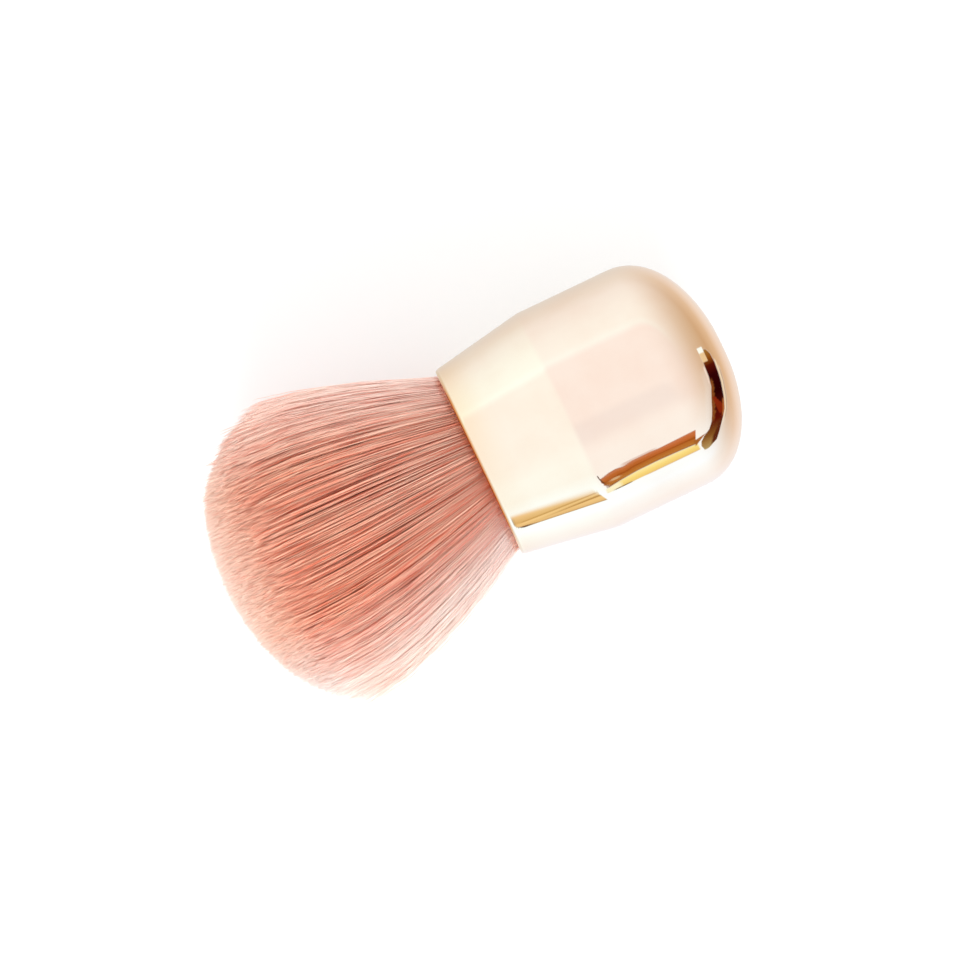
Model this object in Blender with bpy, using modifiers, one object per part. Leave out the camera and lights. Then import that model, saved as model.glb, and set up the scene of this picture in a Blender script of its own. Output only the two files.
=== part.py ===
"""Nail dust brush: a short domed brush with a one-piece metal handle, lying on its side.

Units are metres, +Z is up. The brush's axis runs along X: the domed end of the handle points
to +X and the bristle tips point to -X. The origin is under the middle of the brush, on the
surface that the brush lies on.

Every piece is drawn round its own Z axis and hangs from one empty, whose Z axis is the axis
of the brush. Depth is counted from the mouth of the handle towards the domed end, so what
stands out of the mouth has a negative depth. The empty's +X points down, to the surface.
"""

import math

import bmesh
import bpy
from mathutils import Matrix, Vector

OBJECT_NAME = "nail_dust_brush"

# Clearance between pieces that touch on the real brush
CLEARANCE = 0.0003

# Handle shell: a cone from the mouth, a cylinder and a full, domed crown
MOUTH_RADIUS = 0.01375
BODY_SWELL = 0.00225
COLLAR_LENGTH = 0.0133
BODY_LENGTH = 0.0133
CROWN_LENGTH = 0.0098
STAND_RADIUS = 0.0039
SHELL_WALL = 0.00055
CREASE_FILLET = 0.006
CROWN_FULLNESS = 2.15
SHELL_STEPS = 48
CROWN_STEPS = 9
FILLET_STEPS = 3
LIP_STEPS = 4

# Bristle cup, pressed into the handle behind its mouth
CUP_RIM_DEPTH = 0.0035
CUP_WALL = 0.0004
CUP_FLOOR = 0.0005
INNER_STEPS = 32

# Potted root of the bristles, and the cord bound round it
ROOT_DEPTH = 0.008
ROOT_THICKNESS = 0.0026
BINDING_THICKNESS = 0.0004
BINDING_WIDTH = 0.0018

# Adhesive disc between the cup and the plug
GLUE_THICKNESS = 0.0006

# Moulded plug that fills the handle and carries the cup and the weight
PLUG_NOSE_DEPTH = 0.0062
PLUG_WEB = 0.0065
PLUG_REACH_IN_CROWN = 0.0034
PLUG_REAR_STEPS = 3

# Steel weight at the back of the plug, and the foam pad that holds it there
WEIGHT_RADIUS = 0.009
WEIGHT_LENGTH = 0.0105
WEIGHT_CHAMFER = 0.0006
PAD_RADIUS = 0.0075

# Bristles: a flared tuft with a domed end
TUFT_FLARE = 0.0085
TUFT_CONE_LENGTH = 0.0244
TUFT_DOME_LENGTH = 0.014
TUFT_FLOOR_GAP = 0.0002
TIP_TAPER = 0.0015
FLARE_BEND = 0.016
FLARE_CURVE = 1.5
STRAND_SIDES = 3
ROW_COUNT = 10
STRANDS_ADDED_PER_ROW = 6
STRAND_ROOT_SHARE = 0.36
STRAND_TIP_SHARE = 0.54
STRAND_EMBED = 0.0005
SLICE_GAP = 0.0003
SLICE_STEPS = 36

# Layers of the tuft: name, first row, last row, how many bundles, whether the strands bend
TUFT_LAYERS = (
    ("core", 0, 3, 1, False),
    ("inner", 4, 7, 6, False),
    ("outer", 8, 10, 6, True),
)

MERGE_DISTANCE = 0.000001

# Sizes that follow from the ones above
BODY_RADIUS = MOUTH_RADIUS + BODY_SWELL
CROWN_START = COLLAR_LENGTH + BODY_LENGTH
HANDLE_LENGTH = CROWN_START + CROWN_LENGTH
TUFT_LENGTH = TUFT_CONE_LENGTH + TUFT_DOME_LENGTH
AXIS_HEIGHT = BODY_RADIUS * math.cos(math.pi / SHELL_STEPS)
MOUTH_X = (TUFT_LENGTH - HANDLE_LENGTH) / 2

MOUTH_BORE = MOUTH_RADIUS - SHELL_WALL
CUP_RADIUS = MOUTH_BORE - CLEARANCE
CUP_BORE = CUP_RADIUS - CUP_WALL
BINDING_RADIUS = CUP_BORE - CLEARANCE
BINDING_BORE = BINDING_RADIUS - BINDING_THICKNESS
ROOT_RADIUS = BINDING_BORE - CLEARANCE
HAIR_RADIUS_AT_MOUTH = MOUTH_BORE - CLEARANCE

ROOT_BACK = ROOT_DEPTH + ROOT_THICKNESS
CUP_FLOOR_DEPTH = ROOT_BACK + CLEARANCE
CUP_BACK = CUP_FLOOR_DEPTH + CUP_FLOOR
GLUE_FRONT = CUP_BACK + CLEARANCE
GLUE_BACK = GLUE_FRONT + GLUE_THICKNESS
POCKET_FLOOR = GLUE_BACK + CLEARANCE
POCKET_RADIUS = CUP_RADIUS + CLEARANCE

PLUG_REAR = CROWN_START + PLUG_REACH_IN_CROWN
WEIGHT_POCKET_FLOOR = POCKET_FLOOR + PLUG_WEB
WEIGHT_POCKET_RADIUS = WEIGHT_RADIUS + CLEARANCE
WEIGHT_FRONT = WEIGHT_POCKET_FLOOR + CLEARANCE
WEIGHT_BACK = WEIGHT_FRONT + WEIGHT_LENGTH
PAD_FRONT = WEIGHT_BACK + CLEARANCE

# A strand's flat side faces out, and it reaches three quarters of its radius in and out.
ROW_PITCH = (ROOT_RADIUS - SLICE_GAP / 2) / (ROW_COUNT + STRAND_TIP_SHARE * 3 / 4)
STRAND_ROOT_RADIUS = STRAND_ROOT_SHARE * ROW_PITCH
STRAND_TIP_RADIUS = STRAND_TIP_SHARE * ROW_PITCH
STRAND_START = ROOT_DEPTH + STRAND_EMBED
PRESSED_REACH = AXIS_HEIGHT - TUFT_FLOOR_GAP


def clear_scene():
    for item in list(bpy.data.objects):
        bpy.data.objects.remove(item, do_unlink=True)


def new_collection(name):
    collection = bpy.data.collections.new(name)
    bpy.context.scene.collection.children.link(collection)
    return collection


def principled(name, color, roughness, metallic):
    material = bpy.data.materials.new(name)
    material.use_nodes = True
    shader = material.node_tree.nodes["Principled BSDF"]
    shader.inputs["Base Color"].default_value = (*color, 1)
    shader.inputs["Roughness"].default_value = roughness
    shader.inputs["Metallic"].default_value = metallic
    return material


def link(item, collection, parent, material=None):
    collection.objects.link(item)
    item.parent = parent
    if material:
        item.data.materials.append(material)
    return item


def turned(name, outline, steps, ring=False):
    """A solid of revolution. The outline is (radius, depth) pairs, down the outer side.

    It ends on the axis, or, for a ring, goes back to its first point.
    """
    bm = bmesh.new()
    points = [bm.verts.new((radius, 0, depth)) for radius, depth in outline]
    if ring:
        points.append(points[0])
    for start, end in zip(points, points[1:]):
        bm.edges.new((start, end))
    mesh = bpy.data.meshes.new(name)
    bm.to_mesh(mesh)
    bm.free()
    item = bpy.data.objects.new(name, mesh)
    # A flat facet, not an edge, faces the surface that the brush lies on.
    item.rotation_euler.z = math.pi / steps
    screw = item.modifiers.new("turn", "SCREW")
    screw.steps = steps
    screw.render_steps = steps
    screw.use_merge_vertices = True
    screw.merge_threshold = MERGE_DISTANCE
    screw.use_smooth_shade = True
    return item


def rounded(before, corner, after, radius, steps):
    """Points of an arc that rounds an outline's corner."""
    before, corner, after = Vector(before), Vector(corner), Vector(after)
    back = (before - corner).normalized()
    ahead = (after - corner).normalized()
    half_angle = back.angle(ahead) / 2
    centre = corner + (back + ahead).normalized() * (radius / math.sin(half_angle))
    first = (corner + back * (radius / math.tan(half_angle)) - centre).normalized()
    last = (corner + ahead * (radius / math.tan(half_angle)) - centre).normalized()
    arc = [centre + radius * first.slerp(last, step / steps) for step in range(steps + 1)]
    return [tuple(point) for point in arc]


def crown_curve(inset):
    """Half width and full height of the crown's curve, moved in from the outer surface."""
    half_width = BODY_RADIUS - inset
    land_share = STAND_RADIUS / half_width
    height = (CROWN_LENGTH - inset) / (1 - land_share ** CROWN_FULLNESS) ** (1 / CROWN_FULLNESS)
    return half_width, height


def wall_radius(depth, inset):
    """Radius of the handle's surface at a depth, moved in from the outer surface."""
    if depth < COLLAR_LENGTH:
        return MOUTH_RADIUS + BODY_SWELL * depth / COLLAR_LENGTH - inset
    if depth <= CROWN_START:
        return BODY_RADIUS - inset
    half_width, height = crown_curve(inset)
    rise_share = (depth - CROWN_START) / height
    return half_width * (1 - rise_share ** CROWN_FULLNESS) ** (1 / CROWN_FULLNESS)


def crown_outline(inset):
    """The crown from its flat land down to the cylinder."""
    half_width, height = crown_curve(inset)
    land_angle = math.acos((STAND_RADIUS / half_width) ** (CROWN_FULLNESS / 2))
    power = 2 / CROWN_FULLNESS
    outline = []
    for step in range(CROWN_STEPS + 1):
        angle = land_angle * (1 - step / CROWN_STEPS)
        rise = height * math.sin(angle) ** power
        outline.append((half_width * math.cos(angle) ** power, CROWN_START + rise))
    return outline


def crease_outline(inset, front_depth):
    """The rounded crease where the cylinder meets the collar's cone."""
    behind = (BODY_RADIUS - inset, CROWN_START)
    crease = (BODY_RADIUS - inset, COLLAR_LENGTH)
    ahead = (wall_radius(front_depth, inset), front_depth)
    return rounded(behind, crease, ahead, CREASE_FILLET - inset, FILLET_STEPS)


def lip_outline():
    """The full round of the mouth's lip, from the outer wall to the inner one."""
    half_wall = SHELL_WALL / 2
    centre = MOUTH_RADIUS - half_wall
    outline = []
    for step in range(LIP_STEPS + 1):
        angle = math.pi * step / LIP_STEPS
        outline.append((centre + half_wall * math.cos(angle), half_wall * (1 - math.sin(angle))))
    return outline


def make_handle_shell():
    outside = crown_outline(0) + crease_outline(0, 0)
    inside = crease_outline(SHELL_WALL, 0)[::-1] + crown_outline(SHELL_WALL)[::-1]
    outline = [(0, HANDLE_LENGTH)] + outside + lip_outline() + inside
    outline.append((0, HANDLE_LENGTH - SHELL_WALL))
    return turned("handle_shell", outline, SHELL_STEPS)


def make_core_plug():
    inset = SHELL_WALL + CLEARANCE
    outline = [(0, WEIGHT_POCKET_FLOOR), (WEIGHT_POCKET_RADIUS, WEIGHT_POCKET_FLOOR)]
    outline.append((WEIGHT_POCKET_RADIUS, PLUG_REAR))
    for step in range(PLUG_REAR_STEPS + 1):
        depth = PLUG_REAR - PLUG_REACH_IN_CROWN * step / PLUG_REAR_STEPS
        outline.append((wall_radius(depth, inset), depth))
    outline += crease_outline(inset, PLUG_NOSE_DEPTH)
    outline.append((wall_radius(PLUG_NOSE_DEPTH, inset), PLUG_NOSE_DEPTH))
    outline.append((POCKET_RADIUS, PLUG_NOSE_DEPTH))
    outline.append((POCKET_RADIUS, POCKET_FLOOR))
    outline.append((0, POCKET_FLOOR))
    return turned("core_plug", outline, SHELL_STEPS)


def make_bristle_cup():
    outline = [
        (0, CUP_BACK),
        (CUP_RADIUS - CUP_WALL, CUP_BACK),
        (CUP_RADIUS, CUP_BACK - CUP_WALL),
        (CUP_RADIUS, CUP_RIM_DEPTH),
        (CUP_BORE, CUP_RIM_DEPTH),
        (CUP_BORE, CUP_FLOOR_DEPTH),
        (0, CUP_FLOOR_DEPTH),
    ]
    return turned("bristle_cup", outline, SHELL_STEPS)


def make_binding_cord():
    middle = ROOT_DEPTH + ROOT_THICKNESS / 2
    back = middle + BINDING_WIDTH / 2
    front = middle - BINDING_WIDTH / 2
    outline = [
        (BINDING_BORE, back),
        (BINDING_RADIUS, back),
        (BINDING_RADIUS, front),
        (BINDING_BORE, front),
    ]
    return turned("binding_cord", outline, SHELL_STEPS, ring=True)


def make_cup_glue():
    outline = [(0, GLUE_BACK), (CUP_BORE, GLUE_BACK), (CUP_BORE, GLUE_FRONT), (0, GLUE_FRONT)]
    return turned("cup_glue", outline, INNER_STEPS)


def make_weight():
    inner = WEIGHT_RADIUS - WEIGHT_CHAMFER
    outline = [
        (0, WEIGHT_BACK),
        (inner, WEIGHT_BACK),
        (WEIGHT_RADIUS, WEIGHT_BACK - WEIGHT_CHAMFER),
        (WEIGHT_RADIUS, WEIGHT_FRONT + WEIGHT_CHAMFER),
        (inner, WEIGHT_FRONT),
        (0, WEIGHT_FRONT),
    ]
    return turned("steel_weight", outline, INNER_STEPS)


def make_crown_pad():
    """A foam pad that fills the space between the weight and the inside of the crown."""
    inset = SHELL_WALL + CLEARANCE
    half_width, height = crown_curve(inset)
    edge_share = (1 - (PAD_RADIUS / half_width) ** CROWN_FULLNESS) ** (1 / CROWN_FULLNESS)
    pad_back = CROWN_START + height * edge_share
    outline = [(0, pad_back), (PAD_RADIUS, pad_back), (PAD_RADIUS, PAD_FRONT), (0, PAD_FRONT)]
    return turned("crown_pad", outline, INNER_STEPS)


def hair_radius(depth):
    """Radius of the whole tuft at a depth."""
    if depth >= 0:
        along = min(depth / ROOT_DEPTH, 1)
        return HAIR_RADIUS_AT_MOUTH + (ROOT_RADIUS - HAIR_RADIUS_AT_MOUTH) * along
    out_share = min(-depth / TUFT_CONE_LENGTH, 1)
    return HAIR_RADIUS_AT_MOUTH + TUFT_FLARE * (1 - (1 - out_share) ** FLARE_CURVE)


def spread(point):
    """Where a point of a straight strand goes as the tuft flares and lies on the surface."""
    radius = hair_radius(point.z)
    down = point.x * radius / ROOT_RADIUS
    if down > 0:
        down *= min(1, PRESSED_REACH / radius)
    return Vector((down, point.y * radius / ROOT_RADIUS, point.z))


def add_strand(bm, row, angle, bends):
    """One straight strand over its place on the root, with rings where it will bend."""
    row_share = row * ROW_PITCH / ROOT_RADIUS
    tip = -TUFT_CONE_LENGTH - TUFT_DOME_LENGTH * math.sqrt(1 - row_share ** 2)
    ring_depths = [0, tip + TIP_TAPER]
    if bends:
        ring_depths.insert(1, -FLARE_BEND)
    place = Matrix.Rotation(angle, 4, "Z")
    # The section's centre lies a quarter of its radius out, so it reaches as far in as out.
    centre = row * ROW_PITCH + STRAND_TIP_RADIUS / 4
    place @= Matrix.Translation((centre, 0, (STRAND_START + tip) / 2))
    place @= Matrix.Rotation(math.pi / 2, 4, "Z")
    rod = bmesh.ops.create_cone(
        bm,
        cap_ends=True,
        segments=STRAND_SIDES,
        radius1=STRAND_TIP_RADIUS,
        radius2=STRAND_ROOT_RADIUS,
        depth=STRAND_START - tip,
        matrix=place,
    )
    ends = [vert for vert in rod["verts"] if vert.co.z < 0]
    edges = {edge for vert in rod["verts"] for edge in vert.link_edges}
    faces = {face for vert in rod["verts"] for face in vert.link_faces}
    geometry = rod["verts"] + list(edges) + list(faces)
    for depth in ring_depths:
        cut = bmesh.ops.bisect_plane(
            bm, geom=geometry, dist=MERGE_DISTANCE, plane_co=(0, 0, depth), plane_no=(0, 0, 1)
        )
        geometry = cut["geom"]
    middle = sum((vert.co for vert in ends), Vector()) / len(ends)
    bmesh.ops.pointmerge(bm, verts=ends, merge_co=middle)


def finish_mesh(bm, name):
    bmesh.ops.recalc_face_normals(bm, faces=bm.faces[:])
    mesh = bpy.data.meshes.new(name)
    bm.to_mesh(mesh)
    bm.free()
    return bpy.data.objects.new(name, mesh)


def make_root_slice(name, first_row, last_row, bundle, bundles):
    """A slice of the potted root: a disc, or a sector of a ring with straight gaps beside it."""
    bm = bmesh.new()
    outer = (last_row + 1 / 2) * ROW_PITCH - SLICE_GAP / 2
    if last_row == ROW_COUNT:
        outer = ROOT_RADIUS
    if bundles == 1:
        bmesh.ops.create_circle(bm, cap_ends=True, segments=SLICE_STEPS, radius=outer)
    else:
        inner = (first_row - 1 / 2) * ROW_PITCH + SLICE_GAP / 2
        for radius in (inner, outer):
            bmesh.ops.create_circle(bm, segments=SLICE_STEPS, radius=radius)
        bmesh.ops.bridge_loops(bm, edges=bm.edges[:])
        sector = 2 * math.pi / bundles
        side_angles = (sector * bundle + math.pi / 2, sector * (bundle + 1) - math.pi / 2)
        for angle in side_angles:
            inwards = Vector((math.cos(angle), math.sin(angle), 0))
            bmesh.ops.bisect_plane(
                bm,
                geom=bm.verts[:] + bm.edges[:] + bm.faces[:],
                dist=MERGE_DISTANCE,
                plane_co=inwards * SLICE_GAP / 2,
                plane_no=inwards,
                clear_inner=True,
            )
        bmesh.ops.dissolve_faces(bm, faces=bm.faces[:])
    bmesh.ops.translate(bm, verts=bm.verts[:], vec=(0, 0, ROOT_DEPTH))
    back = bmesh.ops.extrude_face_region(bm, geom=bm.faces[:])
    back_verts = [item for item in back["geom"] if isinstance(item, bmesh.types.BMVert)]
    bmesh.ops.translate(bm, verts=back_verts, vec=(0, 0, ROOT_THICKNESS))
    return finish_mesh(bm, name)


def make_strands(name, first_row, last_row, bundle, bundles, bends):
    """All strands that stand on one slice of the root, in rows round the axis."""
    bm = bmesh.new()
    sector = 2 * math.pi / bundles
    for row in range(first_row, last_row + 1):
        count = max(1, row * STRANDS_ADDED_PER_ROW // bundles)
        for place in range(count):
            add_strand(bm, row, sector * (bundle + (place + 1 / 2) / count), bends)
    for vert in bm.verts:
        vert.co = spread(vert.co)
    return finish_mesh(bm, name)


def make_bristles(parts, cutters, axis, material):
    for layer, first_row, last_row, bundles, bends in TUFT_LAYERS:
        for bundle in range(bundles):
            name = f"bristles_{layer}"
            if bundles > 1:
                name += f"_{bundle + 1}"
            strands = make_strands(f"{name}_strands", first_row, last_row, bundle, bundles, bends)
            link(strands, cutters, axis)
            strands.hide_render = True
            strands.display_type = "WIRE"
            root = make_root_slice(name, first_row, last_row, bundle, bundles)
            link(root, parts, axis, material)
            union = root.modifiers.new("strands", "BOOLEAN")
            union.operation = "UNION"
            union.solver = "EXACT"
            union.object = strands


def build():
    clear_scene()
    parts = new_collection(OBJECT_NAME)
    cutters = new_collection("construction")

    axis = bpy.data.objects.new("brush_axis", None)
    axis.location = (MOUTH_X, 0, AXIS_HEIGHT)
    axis.rotation_euler = (0, math.pi / 2, 0)
    parts.objects.link(axis)

    rose_gold = principled("rose_gold", (0.86, 0.62, 0.52), 0.12, 1)
    bare_aluminium = principled("bare_aluminium", (0.8, 0.8, 0.81), 0.35, 1)
    moulded_plastic = principled("moulded_plastic", (0.85, 0.84, 0.82), 0.5, 0)
    steel = principled("steel", (0.56, 0.57, 0.58), 0.35, 1)
    adhesive = principled("adhesive", (0.85, 0.78, 0.6), 0.3, 0)
    twine = principled("twine", (0.8, 0.74, 0.64), 0.9, 0)
    foam = principled("foam", (0.25, 0.25, 0.26), 0.95, 0)
    bristle = principled("bristle", (0.8, 0.5, 0.44), 0.5, 0)

    link(make_handle_shell(), parts, axis, rose_gold)
    link(make_core_plug(), parts, axis, moulded_plastic)
    link(make_bristle_cup(), parts, axis, bare_aluminium)
    link(make_binding_cord(), parts, axis, twine)
    link(make_cup_glue(), parts, axis, adhesive)
    link(make_weight(), parts, axis, steel)
    link(make_crown_pad(), parts, axis, foam)
    make_bristles(parts, cutters, axis, bristle)


build()
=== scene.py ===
# %% [markdown]
# A nail dust brush is a short, wide tuft of soft fibres in a stubby, polished metal handle.
# The handle is turned: one profile goes round one axis. The tuft is thousands of thin strands
# that stand on one disc, and flare as they leave the handle's mouth.
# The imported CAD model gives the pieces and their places. This script gives them their looks.
# Light that enters a dense tuft is scattered many times before it leaves, so the limits on
# bounces are raised here. With the usual four, the gaps between fibres would come out too dark.

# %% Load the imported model
import math
import bmesh
import bpy
import numpy as np
from mathutils import Matrix, Vector


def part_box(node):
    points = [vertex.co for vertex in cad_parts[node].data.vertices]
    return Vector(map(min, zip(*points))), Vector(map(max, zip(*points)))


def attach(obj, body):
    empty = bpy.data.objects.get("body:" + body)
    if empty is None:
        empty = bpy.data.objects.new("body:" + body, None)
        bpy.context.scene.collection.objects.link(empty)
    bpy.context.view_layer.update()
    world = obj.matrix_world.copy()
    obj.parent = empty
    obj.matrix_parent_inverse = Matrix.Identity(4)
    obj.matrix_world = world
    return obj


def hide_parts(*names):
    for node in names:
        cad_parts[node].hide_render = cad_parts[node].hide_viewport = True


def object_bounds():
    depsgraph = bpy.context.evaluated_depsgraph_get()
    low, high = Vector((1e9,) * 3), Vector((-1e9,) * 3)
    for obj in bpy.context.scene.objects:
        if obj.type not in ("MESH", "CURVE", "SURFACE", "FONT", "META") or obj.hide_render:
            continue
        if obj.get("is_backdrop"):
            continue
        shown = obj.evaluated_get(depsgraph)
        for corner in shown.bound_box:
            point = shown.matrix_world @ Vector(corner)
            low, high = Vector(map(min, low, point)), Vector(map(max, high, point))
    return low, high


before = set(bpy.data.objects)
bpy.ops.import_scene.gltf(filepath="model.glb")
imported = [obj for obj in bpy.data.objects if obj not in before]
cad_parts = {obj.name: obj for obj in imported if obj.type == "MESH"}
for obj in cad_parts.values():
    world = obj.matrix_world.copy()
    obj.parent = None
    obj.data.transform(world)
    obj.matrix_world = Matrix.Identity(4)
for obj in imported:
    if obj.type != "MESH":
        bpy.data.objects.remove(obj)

SCATTER_BOUNCES = 32
ALL_BOUNCES = 36

scene = bpy.context.scene
scene.cycles.diffuse_bounces = SCATTER_BOUNCES
scene.cycles.max_bounces = ALL_BOUNCES
cad_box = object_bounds()

# %% [markdown]
# Every length is in metres, as in Blender. The brush has its own frame: depth runs from the
# mouth of the handle, at zero, to the far end of the crown, and it is negative along the tuft.
# Across it, the first direction points down to the table and the second one sideways.
# One matrix carries that frame to the model's, so each shape can be made upright and round its
# own axis, which is where it is easy, and is carried to its place in one step.

# %% The brush's own sizes and its place
MOUTH_RADIUS = 0.01375
BODY_RADIUS = 0.016
COLLAR_LENGTH = 0.0133
CROWN_START = 0.0266
CROWN_LENGTH = 0.0098
CROWN_FULLNESS = 2.15
STAND_RADIUS = 0.0039
SHELL_WALL = 0.00055
CREASE_FILLET = 0.006
LIP_LENGTH = 0.0007
HANDLE_LENGTH = CROWN_START + CROWN_LENGTH
NEVER_ZERO = 0.001

shell_low, shell_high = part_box("handle_shell")
axis_height = (shell_low.z + shell_high.z) / 2
mouth_x = shell_low.x
brush_place = Matrix.Translation((mouth_x, 0, axis_height)) @ Matrix.Rotation(math.pi / 2, 4, "Y")
print(f"mouth at x {mouth_x * 1000:.2f} mm, axis {axis_height * 1000:.2f} mm above the table")


def new_object(name, mesh):
    """Shows a mesh as an object at the origin, which is where a finished piece belongs."""
    made = bpy.data.objects.new(name, mesh)
    scene.collection.objects.link(made)
    return made


def finished(bm, name, place=brush_place):
    """Turns a bmesh into an object whose mesh is carried to its place, with faces outwards."""
    bmesh.ops.recalc_face_normals(bm, faces=bm.faces[:])
    bmesh.ops.transform(bm, matrix=place, verts=bm.verts[:])
    mesh = bpy.data.meshes.new(name)
    bm.to_mesh(mesh)
    bm.free()
    print(f"{name}: {len(mesh.vertices)} points, {len(mesh.polygons)} faces")
    return new_object(name, mesh)


# %% [markdown]
# The photograph was taken from straight above, with the brush lying on its side. The picture is
# turned by about 25 degrees, so the camera looks down and is turned about its own view axis.
# A long lens from far off keeps the handle's sides as straight as they are in the photograph.

# %% Camera
PICTURE_TURN = math.radians(25.5)
PICTURE_FIELD = 0.1299
CAMERA_HEIGHT = 0.6
SENSOR = 36
MOUTH_IN_PICTURE = (478.4, 462.7)
PICTURE_SIDE = 960

camera = bpy.data.objects.new("camera", bpy.data.cameras.new("camera"))
scene.collection.objects.link(camera)
scene.camera = camera
camera.data.sensor_width = SENSOR
camera.data.lens = SENSOR * CAMERA_HEIGHT / PICTURE_FIELD
pixel = PICTURE_FIELD / PICTURE_SIDE
picture_right = Vector((math.cos(PICTURE_TURN), -math.sin(PICTURE_TURN), 0))
picture_up = Vector((math.sin(PICTURE_TURN), math.cos(PICTURE_TURN), 0))
across = (PICTURE_SIDE / 2 - MOUTH_IN_PICTURE[0]) * pixel
above = (MOUTH_IN_PICTURE[1] - PICTURE_SIDE / 2) * pixel
mouth = Vector((mouth_x, 0, axis_height))
camera.location = mouth + picture_right * across + picture_up * above + Vector((0, 0, CAMERA_HEIGHT))
camera.rotation_euler = (0, 0, -PICTURE_TURN)
print(f"lens {camera.data.lens:.0f} mm, {pixel * 1000:.4f} mm to a pixel")

# %% [markdown]
# A material is a small program of nodes. The class below wraps one socket, so that ordinary
# Python sums on it add Math nodes: 1 - mask makes a Subtract node. Any other node comes from
# its method node, which takes the node's type, its settings and the values of its inputs.

# %% Shader sums in Python


class Shade:
    """One output of a node tree that Python's own operators can do sums with."""

    def __init__(self, tree, socket=None):
        self.tree = tree
        self.socket = socket

    def node(self, kind, settings=None, inputs=None, output=0):
        """Adds a node, makes its settings, fills its inputs and returns one of its outputs."""
        made = self.tree.nodes.new("ShaderNode" + kind)
        for name, value in (settings or {}).items():
            if name == "stops":
                set_stops(made.color_ramp, value)
            else:
                setattr(made, name, value)
        for name, value in (inputs or {}).items():
            if isinstance(value, Shade):
                self.tree.links.new(value.socket, made.inputs[name])
            else:
                made.inputs[name].default_value = value
        return Shade(self.tree, made.outputs[output]) if made.outputs else None

    def sum(self, operation, first, second):
        return self.node("Math", {"operation": operation}, {0: first, 1: second})

    def __add__(self, other):
        return self.sum("ADD", self, other)

    def __radd__(self, other):
        return self.sum("ADD", other, self)

    def __sub__(self, other):
        return self.sum("SUBTRACT", self, other)

    def __rsub__(self, other):
        return self.sum("SUBTRACT", other, self)

    def __mul__(self, other):
        return self.sum("MULTIPLY", self, other)

    def __rmul__(self, other):
        return self.sum("MULTIPLY", other, self)

    def __truediv__(self, other):
        return self.sum("DIVIDE", self, other)

    def __pow__(self, other):
        return self.sum("POWER", self, other)

    def ramp(self, stops):
        """A colour that changes as this value goes from 0 to 1."""
        return self.node("ValToRGB", {"stops": stops}, {"Fac": self})

    def curve(self, points):
        """A value that runs in straight lines through these points, each a place and a value."""
        return self.ramp([(place, (value, value, value, 1)) for place, value in points])

    def step(self, low, high):
        """0 below low, 1 above high and a smooth rise between them."""
        limits = {"Value": self, "From Min": low, "From Max": high}
        return self.node("MapRange", {"interpolation_type": "SMOOTHSTEP"}, limits)

    def mixed(self, first, second, blend="MIX"):
        """Two colours mixed by this value."""
        settings = {"data_type": "RGBA", "blend_type": blend}
        return self.node("Mix", settings, {"Factor": self, 6: first, 7: second}, 2)

    def clamped(self, low, high):
        return self.node("Clamp", None, {"Value": self, "Min": low, "Max": high})


def set_stops(ramp, stops):
    """Gives a colour ramp its stops, each a place and a colour."""
    while len(ramp.elements) < len(stops):
        ramp.elements.new(0.5)
    for element, (place, color) in zip(ramp.elements, stops):
        element.position = place
        element.color = color


def srgb(red, green, blue):
    """A picture's colour, 0 to 255, as the linear light that a shader wants."""
    channels = []
    for value in (red, green, blue):
        share = value / 255
        channels.append(share / 12.92 if share <= 0.04045 else ((share + 0.055) / 1.055) ** 2.4)
    return (*channels, 1)


def new_material(name):
    """A material with an empty tree, and the tree to build in."""
    material = bpy.data.materials.new(name)
    material.use_nodes = True
    material.node_tree.nodes.clear()
    return material, Shade(material.node_tree)


print("one class and", len(srgb(255, 255, 255)), "channels to a colour")

# %% [markdown]
# The brush lies on a white table in a white tent. The light that falls on things is weaker
# overhead than at the sides. The camera sees the tent as plain white. The polished metal sees
# what the photograph shows in it: near white overhead and on the lamp's side, warm and darker
# low down on the other side, and tan beyond the far end. Those tones are written as they look in
# the metal, and divided by the metal's own tint. A world's shader is given the direction of each
# ray, so one ramp by height for each side is all that this takes, and no picture is needed.

# %% White surroundings
ROSE_GOLD = (0.985, 0.835, 0.705, 1)
ROSE_GOLD_WORN = (0.975, 0.80, 0.665, 1)
TENT_OVERHEAD = 0.94
TENT_SIDES = 1.38
TENT_LOW = -0.1
TENT_HIGH = 0.75

scene.view_settings.view_transform = "Standard"
scene.world = bpy.data.worlds.new("white_tent")
scene.world.use_nodes = True
scene.world.node_tree.nodes.clear()
tent = Shade(scene.world.node_tree)


def seen_share(tree):
    """1 for what the camera, a mirror or clear glass sees, and 0 for light on other things."""
    seen = tree.node("LightPath", output="Is Camera Ray")
    seen = seen + tree.node("LightPath", output="Is Glossy Ray")
    seen = seen + tree.node("LightPath", output="Is Transmission Ray")
    return seen.clamped(0, 1)


def mirrored(red, green, blue):
    """The light that looks like this picture colour once the metal has tinted it."""
    tints = zip(srgb(red, green, blue)[:3], ROSE_GOLD[:3], ROSE_GOLD_WORN[:3])
    return (*(value * 2 / (plain + worn) for value, plain, worn in tints), 1)


direction = tent.node("TexCoord", output="Generated")
forwards = tent.node("SeparateXYZ", None, {0: direction}, "X")
aside = tent.node("SeparateXYZ", None, {0: direction}, "Y")
upwards = tent.node("SeparateXYZ", None, {0: direction}, "Z")
overhead = upwards.step(TENT_LOW, TENT_HIGH)
lighting = overhead.mixed((TENT_SIDES,) * 3 + (1,), (TENT_OVERHEAD,) * 3 + (1,))
print("the tent's light is", TENT_OVERHEAD, "overhead and", TENT_SIDES, "at the sides")

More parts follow.
